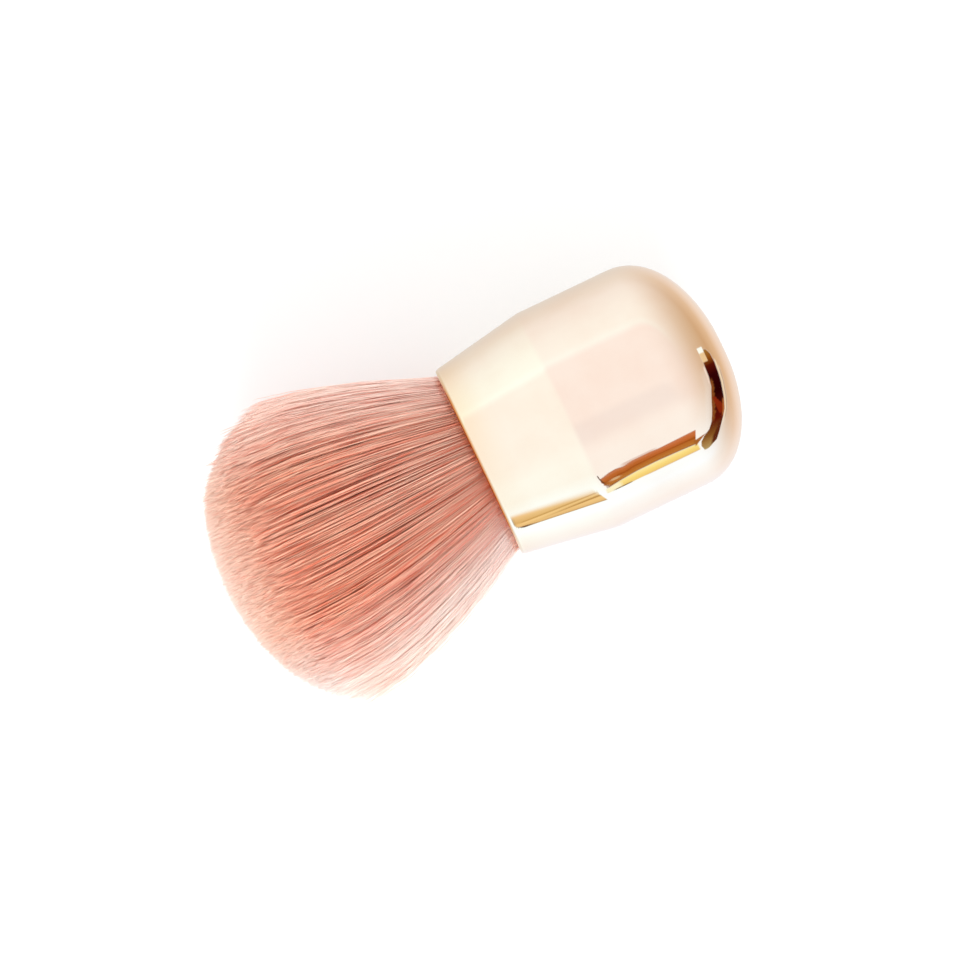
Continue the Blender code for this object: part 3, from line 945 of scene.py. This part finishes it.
# Painted reflection of the fibres on the lip: a deep orange gold that fades towards the sides.
off_middle = (sideways * sideways) ** 0.5
lip_reflection_share = 1 - off_middle.step(*LIP_REFLECTION_SIDES) * LIP_REFLECTION_LOSS
tone = ((1 - from_mouth.step(*LIP_REFLECTION_REACH)) * lip_reflection_share).mixed(tone, LIP_FIBRE_REFLECTION)
rough = POLISH + cloud * CLOUD_ROUGHNESS + rings * RING_ROUGHNESS
bump = tree.node("Bump", None, {"Height": rings, "Strength": 0.02, "Distance": RING_DEPTH})
metal = tree.node("BsdfPrincipled", None, {
    "Base Color": tone,
    "Metallic": 1.0,
    "Roughness": rough,
    "Normal": bump,
})
tree.node("OutputMaterial", None, {"Surface": metal})
shell.data.materials.append(rose_gold)
print("the metal's roughness starts at", POLISH)

# %% [markdown]
# The pieces inside are hidden once the brush is together, and still each has its own finish: a
# moulded plug, a spun cup, a twisted cord, set glue, a turned weight and a felt pad. One function
# makes them all, because each is a noise pattern of some size, stretched along the axis where
# the piece was turned, that moves between two tones.

# %% Finishes of the pieces inside
PATTERN_EDGE = (0.3, 0.7)
PATTERN_ROUGHNESS = 0.15
TURNED_RELIEF = 0.00002
SOFT_RELIEF = 0.0001


def patterned(name, dark, light, rough, size, stretch=(1, 1, 1), metallic=0.0, relief=0.0):
    """A finish whose colour, roughness and relief follow one noise pattern."""
    material, tree = new_material(name)
    place = tree.node("TexCoord", output="Object")
    scaled = tree.node("Mapping", None, {"Vector": place, "Scale": stretch})
    noise = tree.node("TexNoise", None, {"Vector": scaled, "Scale": 1 / size, "Detail": 4.0})
    tone = noise.step(*PATTERN_EDGE).mixed(srgb(*dark), srgb(*light))
    roughness = rough + noise * PATTERN_ROUGHNESS
    inputs = {"Base Color": tone, "Metallic": metallic, "Roughness": roughness}
    if relief:
        inputs["Normal"] = tree.node("Bump", None, {"Height": noise, "Distance": relief})
    shader = tree.node("BsdfPrincipled", None, inputs)
    tree.node("OutputMaterial", None, {"Surface": shader})
    return material


INSIDE = {
    "core_plug": patterned(
        "moulded_plug", (214, 208, 198), (228, 223, 214), rough=0.45, size=0.0015
    ),
    "bristle_cup": patterned(
        "spun_cup", (176, 178, 182), (205, 206, 209), rough=0.22, size=0.001,
        stretch=(12, 1, 1), metallic=1.0, relief=TURNED_RELIEF,
    ),
    "binding_cord": patterned(
        "twisted_cord", (196, 182, 158), (232, 222, 203), rough=0.75, size=0.0003,
        stretch=(3, 1, 1), relief=SOFT_RELIEF,
    ),
    "cup_glue": patterned(
        "set_glue", (206, 176, 122), (222, 196, 148), rough=0.15, size=0.002
    ),
    "steel_weight": patterned(
        "turned_weight", (120, 122, 126), (168, 170, 174), rough=0.3, size=0.0006,
        stretch=(20, 1, 1), metallic=1.0, relief=TURNED_RELIEF,
    ),
    "crown_pad": patterned(
        "felt_pad", (92, 90, 90), (134, 131, 129), rough=0.85, size=0.0004, relief=SOFT_RELIEF
    ),
}
for node, material in INSIDE.items():
    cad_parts[node].data.materials.clear()
    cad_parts[node].data.materials.append(material)
    print(node, "->", material.name)

# %% [markdown]
# A strand of the tuft is a fine fibre that ends in a point. One strand is made as a three sided
# rod of unit size, cut into rings so that it can bend, with its last ring drawn to a point. It
# carries a UV map in which each of its sides has its own column and its root's cap a small patch
# below them, so the fibre's tones can be baked without one side's running into another's.

# %% One strand
STRAND_SIDES = 3
COLUMN_MARGIN = 0.08
COLUMNS_START = 0.07
CAP_MIDDLE = (0.5, 0.03)
CAP_SIZE = (0.1, 0.02)
AT_TIP = 0.999


def unit_strand(rings):
    """A rod from 0 to 1 along Z, with sides that face outwards and a point at 1."""
    bm = bmesh.new()
    uv = bm.loops.layers.uv.new("OFBake")
    upright = Matrix.Translation((0, 0, 0.5))
    bmesh.ops.create_cone(
        bm, cap_ends=True, segments=STRAND_SIDES, radius1=1, radius2=1, depth=1, matrix=upright
    )
    uprights = [edge for edge in bm.edges if abs(edge.verts[0].co.z - edge.verts[1].co.z) > 0.5]
    bmesh.ops.subdivide_edges(bm, edges=uprights, cuts=rings - 2, use_grid_fill=False)
    columns = {}
    for face in bm.faces:
        middle = face.calc_center_median()
        if abs(face.normal.z) > 0.5:
            for loop in face.loops:
                across = CAP_MIDDLE[0] + loop.vert.co.x * CAP_SIZE[0]
                loop[uv].uv = (across, CAP_MIDDLE[1] + loop.vert.co.y * CAP_SIZE[1])
            continue
        side = round(math.degrees(math.atan2(middle.y, middle.x)))
        column = columns.setdefault(side, len(columns))
        for loop in face.loops:
            turn = math.atan2(middle.y, middle.x) - math.atan2(loop.vert.co.y, loop.vert.co.x)
            turn = math.remainder(turn, 2 * math.pi)
            across = column + (COLUMN_MARGIN if turn > 0 else 1 - COLUMN_MARGIN)
            upwards_share = COLUMNS_START + (1 - COLUMNS_START) * loop.vert.co.z
            loop[uv].uv = (across / STRAND_SIDES, upwards_share)
    tip = [vert for vert in bm.verts if vert.co.z > AT_TIP]
    bmesh.ops.pointmerge(bm, verts=tip, merge_co=(0, 0, 1))
    bmesh.ops.recalc_face_normals(bm, faces=bm.faces[:])
    mesh = bpy.data.meshes.new("strand")
    bm.to_mesh(mesh)
    bm.free()
    mesh.shade_smooth()
    return mesh


print("a strand of ten rings has", len(unit_strand(10).polygons), "faces")

# %% [markdown]
# The whole tuft follows a few measures. It is a disc of roots deep in the cup, it fills the
# mouth, it flares over the first two thirds of its length, and its tips lie on a dome. Below its
# middle it is pressed flat by the table. These are the curves that the CAD strands follow.

# %% The tuft's form
ROOT_DEPTH = 0.008
ROOT_THICKNESS = 0.0026
ROOT_RADIUS = 0.0115
HAIR_RADIUS_AT_MOUTH = 0.0129
TUFT_FLARE = 0.0085
TUFT_CONE_LENGTH = 0.0244
TUFT_DOME_LENGTH = 0.014
TUFT_LENGTH = TUFT_CONE_LENGTH + TUFT_DOME_LENGTH
FLARE_CURVE = 1.5
FLOOR_GAP = 0.0002
LEAN = 0.0011


def flare_share(depth):
    """How much of its flare the tuft has at each of an array of depths."""
    return 1 - (1 - np.clip(-depth / TUFT_CONE_LENGTH, 0, 1)) ** FLARE_CURVE


def hair_radius(depth):
    """The tuft's radius at each of an array of depths."""
    inside = np.clip(depth / ROOT_DEPTH, 0, 1)
    narrowing = (ROOT_RADIUS - HAIR_RADIUS_AT_MOUTH) * inside
    return HAIR_RADIUS_AT_MOUTH + narrowing + TUFT_FLARE * flare_share(depth)


def tip_depth(share):
    """How deep, below zero, the tips of strands are whose roots lie at these shares of the radius."""
    return -TUFT_CONE_LENGTH - TUFT_DOME_LENGTH * np.sqrt(np.clip(1 - share ** 2, 0, 1))


print(f"the tuft is {TUFT_LENGTH * 1000:.1f} mm long and swells to "
      f"{hair_radius(np.array([-TUFT_LENGTH]))[0] * 2000:.1f} mm")

# %% [markdown]
# The roots are spread over the disc by the golden angle, which fills it evenly, and then each is
# moved a little. The last few of every hundred fill a thinner rim, so the tuft's outline isn't a
# wall. Neighbouring strands cling together in many small locks. A lock draws its strands towards
# its own middle where the tuft flares, which opens the fine dark gaps between locks, and lets
# them go again towards the tips, which are even.

# %% Roots and locks
STRAND_COUNT = 45400
STRAND_RADIUS = 0.00005
LOCK_COUNT = 2200
GOLDEN_ANGLE = math.pi * (3 - math.sqrt(5))
ROOT_WANDER = 0.004
LOCK_WANDER = 0.012
DENSE_SHARE = 0.94
DENSE_RADIUS = 0.885
RIM_THINNING = 0.6
FULL_ORDER = 1.0001
ROOTS_AT_A_TIME = 2000

random = np.random.default_rng(7)


def golden_disc(count, wander, dense_share=1, dense_radius=1):
    """Points spread over a unit disc, evenly out to a dense part's radius and thinner past it."""
    index = np.arange(count) + 0.5
    order = index / count
    past = np.clip((order - dense_share) / (FULL_ORDER - dense_share), 0, 1)
    rim = 1 - (1 - past) ** RIM_THINNING
    dense = np.sqrt(np.minimum(order / dense_share, 1)) * dense_radius
    share = np.where(order < dense_share, dense, dense_radius + (1 - dense_radius) * rim)
    angle = index * GOLDEN_ANGLE
    points = np.stack([share * np.cos(angle), share * np.sin(angle)], axis=1)
    points += random.normal(0, wander, points.shape)
    length = np.linalg.norm(points, axis=1, keepdims=True)
    return points / np.maximum(length, 1)


roots = golden_disc(STRAND_COUNT, ROOT_WANDER, DENSE_SHARE, DENSE_RADIUS)
roots *= 1 - STRAND_RADIUS / ROOT_RADIUS * 1.5
locks = golden_disc(LOCK_COUNT, LOCK_WANDER)
lock_of = np.empty(STRAND_COUNT, int)
for start in range(0, STRAND_COUNT, ROOTS_AT_A_TIME):
    part = roots[start:start + ROOTS_AT_A_TIME]
    gaps = ((part[:, None, :] - locks[None, :, :]) ** 2).sum(axis=2)
    lock_of[start:start + ROOTS_AT_A_TIME] = gaps.argmin(axis=1)
print(STRAND_COUNT, "roots in", LOCK_COUNT, "locks")

# %% [markdown]
# No two strands are alike. Each gets its own length, thickness and tone, and a small turn away
# from its neighbours, which is larger for the few wild ones. Those on the rim are thinner, and
# some stand off as a loose fringe. The strands on the far shoulder of the dome are shorter, as
# the photograph shows. It also shows both flanks paler than the middle, from the way the light
# falls on them. So every strand's share of the near and the far flanks is worked out from where
# its root stands, and the fibre's colour carries that paleness as painted light. Strands whose
# roots lie in a band across the middle of the disc get a deeper tone. Limits are written as a
# start and a further stretch, both as shares of the disc's radius.

# %% What differs from strand to strand
LENGTH_SPREAD = 0.0012
LENGTH_LOSS = 0.0002
STRAY = 0.00036
WILD_SHARE = 0.15
WILD_STRAY = 0.0009
FRINGE = 0.0009
FRINGE_MOST = 3
FRINGE_ROOTS = (0.85, 0.15)
FRINGE_FAR_LIMIT = 0.45
FRINGE_LEAST = 0.3
WAVE_TURNS = (0.8, 2.4)
THICKNESS = (0.85, 1.15)
RIM_ROOTS = (0.86, 0.10)
RIM_THINNER = 0.2
NEAR_FLANK = (0.37, 0.43)
FAR_FLANK = (0.52, 0.42)
FAR_FLANK_PAINTED_LIGHT = 0.68
MIDDLE_NEAR = (-0.30, 0.20)
MIDDLE_FAR = (-0.65, 0.20)
SHOULDER = 0.0026
SHOULDER_ROOTS = (0.60, 0.40)


def rise(values, start, stretch):
    """0 up to the start, 1 past the stretch, and a straight rise between them."""
    return np.clip((values - start) / stretch, 0, 1)


lock_tone = random.normal(0, 1, LOCK_COUNT)
strand_tone = random.normal(0, 1, STRAND_COUNT)
length_change = np.abs(random.normal(0, LENGTH_SPREAD, STRAND_COUNT)) - LENGTH_LOSS
stray_way = random.normal(0, STRAY, (STRAND_COUNT, 2))
wild = random.random(STRAND_COUNT) < WILD_SHARE
stray_way[wild] *= WILD_STRAY / STRAY
fringe = random.exponential(FRINGE, STRAND_COUNT).clip(0, FRINGE * FRINGE_MOST)
wave_phase = random.uniform(0, 2 * math.pi, (STRAND_COUNT, 2))
wave_turns = random.uniform(*WAVE_TURNS, (STRAND_COUNT, 2))
thickness = random.uniform(*THICKNESS, STRAND_COUNT)

root_share = np.linalg.norm(roots, axis=1)
root_aside = roots[:, 1]
fringe *= rise(root_share, *FRINGE_ROOTS) * np.clip(FRINGE_FAR_LIMIT - root_aside, FRINGE_LEAST, 1)
thickness *= 1 - RIM_THINNER * rise(root_share, *RIM_ROOTS)
# Painted light: each strand's share of the paler flanks, from where its root stands; the far side gets
# less.
flank = rise(-root_aside, *NEAR_FLANK) + FAR_FLANK_PAINTED_LIGHT * rise(root_aside, *FAR_FLANK)
middle = rise(root_aside, *MIDDLE_NEAR) * rise(-root_aside, *MIDDLE_FAR)
length_change += SHOULDER * rise(root_aside, *SHOULDER_ROOTS)
print(f"{wild.mean():.0%} of the strands are wild, and {(flank > 0.5).mean():.0%} are pale")

# %% [markdown]
# The CAD model holds the tuft in thirteen bundles: a core, six inner ones and six outer ones.
# Each gets its own piece here. An Array modifier repeats the unit strand, and then every copy's
# points are carried along the tuft's curves from that strand's own root. On its way a strand
# ripples a little in and out, which keeps it straight as seen from outside, and thins over its
# last fifth. A particle system could grow hair too, but plain meshes ride the body and export.

# %% From a root to a bent strand
SLICE_GAP = 0.0003
ROW_COUNT = 10
STRAND_TIP_SHARE = 0.54
ROW_PITCH = (ROOT_RADIUS - SLICE_GAP / 2) / (ROW_COUNT + STRAND_TIP_SHARE * 3 / 4)
STRAND_BACK = ROOT_DEPTH + ROOT_THICKNESS / 2
CORE_RINGS = (0, 0.25, 0.55, 0.975, 1)
INNER_RINGS = (0, 0.19, 0.38, 0.58, 0.80, 0.975, 1)
OUTER_RINGS = (0, 0.18, 0.27, 0.36, 0.46, 0.57, 0.70, 0.84, 0.975, 1)
CLING = 0.011
CLING_SPAN = 1.15
CLING_POWER = 1.2
WAVE = 0.00005
STRAY_POWER = 1.3
RIPPLE = 0.00014
RIPPLE_RISE = 5
FRINGE_POWER = 1.5
TAPER = 0.5
TAPER_START = 0.78
MIDDLEMOST = 0.01


def repeated(mesh, count):
    """One mesh with this many copies of another, all in the same place."""
    source = new_object("copies", mesh)
    array = source.modifiers.new("copies", "ARRAY")
    array.count = count
    array.use_relative_offset = False
    graph = bpy.context.evaluated_depsgraph_get()
    made = bpy.data.meshes.new_from_object(source.evaluated_get(graph))
    bpy.data.objects.remove(source)
    return made


def bent(unit, chosen, rings):
    """The places of every point of the chosen strands, from the unit strand's points."""
    root = roots[chosen]
    share = root_share[chosen]
    tip = tip_depth(share) + length_change[chosen]
    along = np.interp(unit[None, :, 2], np.linspace(0, 1, len(rings)), rings)
    depth = STRAND_BACK + (tip[:, None] - STRAND_BACK) * along
    out = np.clip(-depth / TUFT_LENGTH, 0, 1)
    cling = CLING * np.sin(np.pi * np.clip(out * CLING_SPAN, 0, 1)) ** CLING_POWER
    to_lock = locks[lock_of[chosen]] - root
    place = root[:, None, :] + to_lock[:, None, :] * cling[:, :, None]
    place = place * hair_radius(depth)[:, :, None]
    wave = np.sin(2 * math.pi * out[:, :, None] * wave_turns[chosen][:, None, :]
                  + wave_phase[chosen][:, None, :])
    stray = stray_way[chosen][:, None, :] * out[:, :, None] ** STRAY_POWER
    place += WAVE * out[:, :, None] * wave + stray
    outwards = root / np.maximum(share, MIDDLEMOST)[:, None]
    ripple = RIPPLE * np.clip(out * RIPPLE_RISE, 0, 1) * wave[:, :, 0]
    loose = fringe[chosen][:, None] * out ** FRINGE_POWER
    place += (ripple + loose)[:, :, None] * outwards[:, None, :]
    swell = hair_radius(depth) / ROOT_RADIUS
    taper = 1 - TAPER * rise(along, TAPER_START, 1 - TAPER_START)
    girth = STRAND_RADIUS * thickness[chosen][:, None] * swell * taper * (along < 1)
    points = np.empty((len(chosen), unit.shape[0], 3))
    points[:, :, 0] = place[:, :, 0] + unit[None, :, 0] * girth
    points[:, :, 1] = place[:, :, 1] + unit[None, :, 1] * girth - LEAN * flare_share(depth)
    points[:, :, 2] = depth
    most = axis_height - FLOOR_GAP
    reach = np.maximum(hair_radius(depth), NEVER_ZERO)
    down = points[:, :, 0]
    pressed = down * np.minimum(1, most / reach)
    points[:, :, 0] = np.where(down > 0, np.minimum(pressed, most), down)
    return points, out


print("rings of a strand:", len(CORE_RINGS), "in the core,", len(OUTER_RINGS), "in the outer bundles")

# %% [markdown]
# On the real brush the roots are potted in one disc of glue. The CAD bundles each carry their
# slice of it, and so does each piece here: a disc or a ring is cut to a sector by two planes
# and pulled up to its thickness. The strands' roots stand in it.

# %% The slice of the potted root
SLAB_SIDES = 96
SLAB_MAP_ACROSS = 35
SLAB_MAP_UP = 20


def sector_planes(bundle, bundles):
    """The directions that point into a bundle's sector from its two flat sides."""
    sector = 2 * math.pi / bundles
    for angle in (sector * bundle + math.pi / 2, sector * (bundle + 1) - math.pi / 2):
        yield Vector((math.cos(angle), math.sin(angle), 0))


def add_root_slab(mesh, first, last, bundle, bundles, cell):
    """Adds the slice of the potted root that the bundle's strands stand in."""
    bm = bmesh.new()
    bm.from_mesh(mesh)
    old = set(bm.verts)
    outer = min(last * ROW_PITCH - SLICE_GAP / 2, ROOT_RADIUS)
    if bundles == 1:
        bmesh.ops.create_circle(bm, cap_ends=True, segments=SLAB_SIDES, radius=outer)
    else:
        for radius in (first * ROW_PITCH + SLICE_GAP / 2, outer):
            bmesh.ops.create_circle(bm, segments=SLAB_SIDES, radius=radius)
        fresh = [vert for vert in bm.verts if vert not in old]
        circles = {edge for vert in fresh for edge in vert.link_edges}
        bmesh.ops.bridge_loops(bm, edges=list(circles))
        for inwards in sector_planes(bundle, bundles):
            fresh = [vert for vert in bm.verts if vert not in old]
            geometry = fresh + list({edge for vert in fresh for edge in vert.link_edges})
            geometry += list({face for vert in fresh for face in vert.link_faces})
            bmesh.ops.bisect_plane(
                bm,
                geom=geometry,
                dist=MERGE_DISTANCE,
                plane_co=inwards * (SLICE_GAP / 2),
                plane_no=inwards,
                clear_inner=True,
            )
    fresh = [vert for vert in bm.verts if vert not in old]
    bmesh.ops.translate(bm, verts=fresh, vec=(0, 0, ROOT_DEPTH))
    flat = {face for vert in fresh for face in vert.link_faces}
    grown = bmesh.ops.extrude_face_region(bm, geom=list(flat))
    raised = [item for item in grown["geom"] if isinstance(item, bmesh.types.BMVert)]
    bmesh.ops.translate(bm, verts=raised, vec=(0, 0, ROOT_THICKNESS))
    fresh = [vert for vert in bm.verts if vert not in old]
    slab = list({face for vert in fresh for face in vert.link_faces})
    bmesh.ops.recalc_face_normals(bm, faces=slab)
    uv = bm.loops.layers.uv["OFBake"]
    for face in slab:
        for loop in face.loops:
            point = loop.vert.co
            across = 0.5 + point.x * SLAB_MAP_ACROSS + (point.z - ROOT_DEPTH) * SLAB_MAP_UP
            spot = (across, 0.5 + point.y * SLAB_MAP_ACROSS)
            loop[uv].uv = (cell[0] + spot[0] * cell[2], cell[1] + spot[1] * cell[2])
    bm.to_mesh(mesh)
    bm.free()


print("a root slice is cut from a ring of", SLAB_SIDES, "sides")

# %% [markdown]
# A bundle's piece is put together here. Each strand has a square cell of the UV map to itself,
# and the root's slice has the last one. How far out a point lies and its strand's tones are kept
# on the points as attributes, which the fibre's material reads.

# %% The thirteen bundles
LAYERS = (
    ("core", 0, 3.5, 1, CORE_RINGS),
    ("inner", 3.5, 7.5, 6, INNER_RINGS),
    ("outer", 7.5, 99, 6, OUTER_RINGS),
)
CELL_MARGIN = 0.06
MIDDLE_DEEPER = 0.5


def set_points(mesh, name, values):
    """Keeps a value for every point of a mesh as an attribute that a material can read."""
    attribute = mesh.attributes.new(name, "FLOAT", "POINT")
    attribute.data.foreach_set("value", values.reshape(-1).astype(np.float32))


def spread_cells(mesh, count):
    """Moves every strand's map into its own cell, and returns the place and size of the last."""
    cells = math.ceil(math.sqrt(count + 1))
    size = 1 - 2 * CELL_MARGIN
    layer = mesh.uv_layers["OFBake"]
    flat = np.empty(len(mesh.loops) * 2, np.float32)
    layer.data.foreach_get("uv", flat)
    flat = flat.reshape(count, -1, 2)
    order = np.arange(count)
    corner = np.stack([order % cells, order // cells], axis=1)[:, None, :]
    flat = (corner + CELL_MARGIN + flat * size) / cells
    layer.data.foreach_set("uv", flat.reshape(-1).astype(np.float32))
    last = (cells - 1 + CELL_MARGIN) / cells
    return last, last, size / cells


def make_bundle(name, first, last, bundle, bundles, rings):
    """The piece that stands for one bundle of the CAD tuft."""
    strand = unit_strand(len(rings))
    radius = root_share * ROOT_RADIUS
    turn = np.arctan2(roots[:, 1], roots[:, 0]) % (2 * math.pi)
    belongs = (radius >= first * ROW_PITCH) & (radius < last * ROW_PITCH)
    belongs &= (turn * bundles / (2 * math.pi)).astype(int) == bundle
    chosen = np.flatnonzero(belongs)
    mesh = repeated(strand, len(chosen))
    unit = np.array([tuple(vert.co) for vert in strand.vertices])
    points, out = bent(unit, chosen, rings)
    mesh.vertices.foreach_set("co", points.reshape(-1).astype(np.float32))
    tone = strand_tone[chosen] + MIDDLE_DEEPER * middle[chosen]
    set_points(mesh, "reach", out)
    set_points(mesh, "tone", np.repeat(tone, len(unit)))
    set_points(mesh, "lock", np.repeat(lock_tone[lock_of[chosen]], len(unit)))
    set_points(mesh, "flank", np.repeat(flank[chosen], len(unit)))
    last_cell = spread_cells(mesh, len(chosen))
    add_root_slab(mesh, first, last, bundle, bundles, last_cell)
    mesh.transform(brush_place)
    mesh.update()
    mesh.name = name
    piece = new_object("hair_" + name, mesh)
    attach(piece, "root")
    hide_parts(name)
    print(f"{name}: {len(chosen)} strands, {len(mesh.polygons)} faces")
    return piece


tuft = []
for layer, first, last, bundles, rings in LAYERS:
    for bundle in range(bundles):
        name = f"bristles_{layer}" + (f"_{bundle + 1}" if bundles > 1 else "")
        tuft.append(make_bundle(name, first, last, bundle, bundles, rings))

# %% [markdown]
# The fibres have one rose dye. Painted shade makes them deepest where they leave the mouth, and
# painted light makes them palest at their thin tips and nearly white in the flanks. Light passes
# through them, so a part of each fibre's shading is translucent. Short deeper patches run along
# single strands and along whole locks, and the tone of each strand differs a little, as it does on
# a real brush. Light that is scattered from fibre to fibre takes their colour again and again, so
# the written tones are much paler than those that the tuft shows.

# %% Fibre
STRAND_STREAKS = (6, 37)
LOCK_STREAKS = (5, 31)
STRAND_PATCHES = 1.7
LOCK_PATCHES = 0.6
PATCH_DEPTH = 1.15
TONE_DEPTH = 0.17
COMMON_DEPTH = 0.12
DEEPEST = 0.85
TIPS = (0.6, 1.0)
TIPS_PAINTED_LIGHT_LOSS = 0.6
FLANK_PAINTED_LIGHT_LOSS = 0.7
DEEP_ROSE = (238, 118, 84)
THROUGH = 0.20
THROUGH_IN_FLANK = 0.18
FIBRE_ROUGHNESS = 0.6
FIBRE_GLOSS = 0.12

fibre, tree = new_material("rose_fibre")
reach = tree.node("Attribute", {"attribute_name": "reach"}, output="Fac")
tone = tree.node("Attribute", {"attribute_name": "tone"}, output="Fac")
lock = tree.node("Attribute", {"attribute_name": "lock"}, output="Fac")
pale = tree.node("Attribute", {"attribute_name": "flank"}, output="Fac")
# Painted shade: the first two stops darken the fibres where they leave the mouth. Painted light: the
# last stops make the tips paler.
dye_with_painted_light = reach.ramp([
    (0.000, srgb(226, 104, 50)),
    (0.008, srgb(240, 142, 98)),
    (0.022, srgb(253, 203, 178)),
    (0.060, srgb(252, 211, 188)),
    (0.250, srgb(252, 208, 184)),
    (0.450, srgb(252, 202, 175)),
    (0.660, srgb(251, 201, 173)),
    (0.800, srgb(253, 208, 183)),
    (0.900, srgb(254, 222, 203)),
    (1.000, srgb(255, 237, 224)),
])
# Painted light: the near white tone that the flanks get, with painted shade in its first stops at the
# mouth.
flank_painted_light_tone = reach.ramp([
    (0.000, srgb(244, 176, 140)),
    (0.008, srgb(250, 208, 188)),
    (0.024, srgb(255, 247, 243)),
    (0.350, srgb(255, 248, 243)),
    (0.650, srgb(255, 246, 240)),
    (0.800, srgb(255, 250, 246)),
    (1.000, srgb(255, 250, 247)),
])


def patches_along(value, streaks):
    """Noise that changes along a strand, and differs from one value to the next."""
    where = tree.node("CombineXYZ", None, {"X": reach * streaks[0], "Y": value * streaks[1]})
    inputs = {"Vector": where, "Scale": 1.0, "Detail": 1.0}
    return tree.node("TexNoise", {"noise_dimensions": "2D"}, inputs) - 0.5


patches = patches_along(tone, STRAND_STREAKS) * STRAND_PATCHES
patches = patches + patches_along(lock, LOCK_STREAKS) * LOCK_PATCHES
deeper = (tone * TONE_DEPTH + patches * PATCH_DEPTH + COMMON_DEPTH).clamped(0, DEEPEST)
# Painted light: fewer deeper patches at the tips and in the flanks, so both come out paler.
deeper = deeper * (1 - reach.step(*TIPS) * TIPS_PAINTED_LIGHT_LOSS) * (1 - pale * FLANK_PAINTED_LIGHT_LOSS)
color = deeper.mixed(pale.mixed(dye_with_painted_light, flank_painted_light_tone), srgb(*DEEP_ROSE))
skin = tree.node("BsdfPrincipled", None, {
    "Base Color": color,
    "Roughness": FIBRE_ROUGHNESS,
    "Specular IOR Level": FIBRE_GLOSS,
})
through = tree.node("BsdfTranslucent", None, {"Color": color})
share = THROUGH + pale * THROUGH_IN_FLANK
both = tree.node("MixShader", None, {0: share, 1: skin, 2: through})
tree.node("OutputMaterial", None, {"Surface": both})
for piece in tuft:
    piece.data.materials.clear()
    piece.data.materials.append(fibre)
print("the fibre's material has", len(tree.tree.nodes), "nodes and is on", len(tuft), "pieces")

# %% [markdown]
# The last cell prints the dressed model's box next to the CAD model's, because the looks must not
# change the object's size.

# %% Sizes and the end
visual_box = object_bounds()
for title, box in (("CAD", cad_box), ("visual", visual_box)):
    print(title, [round(value * 1000, 2) for corner in box for value in corner])
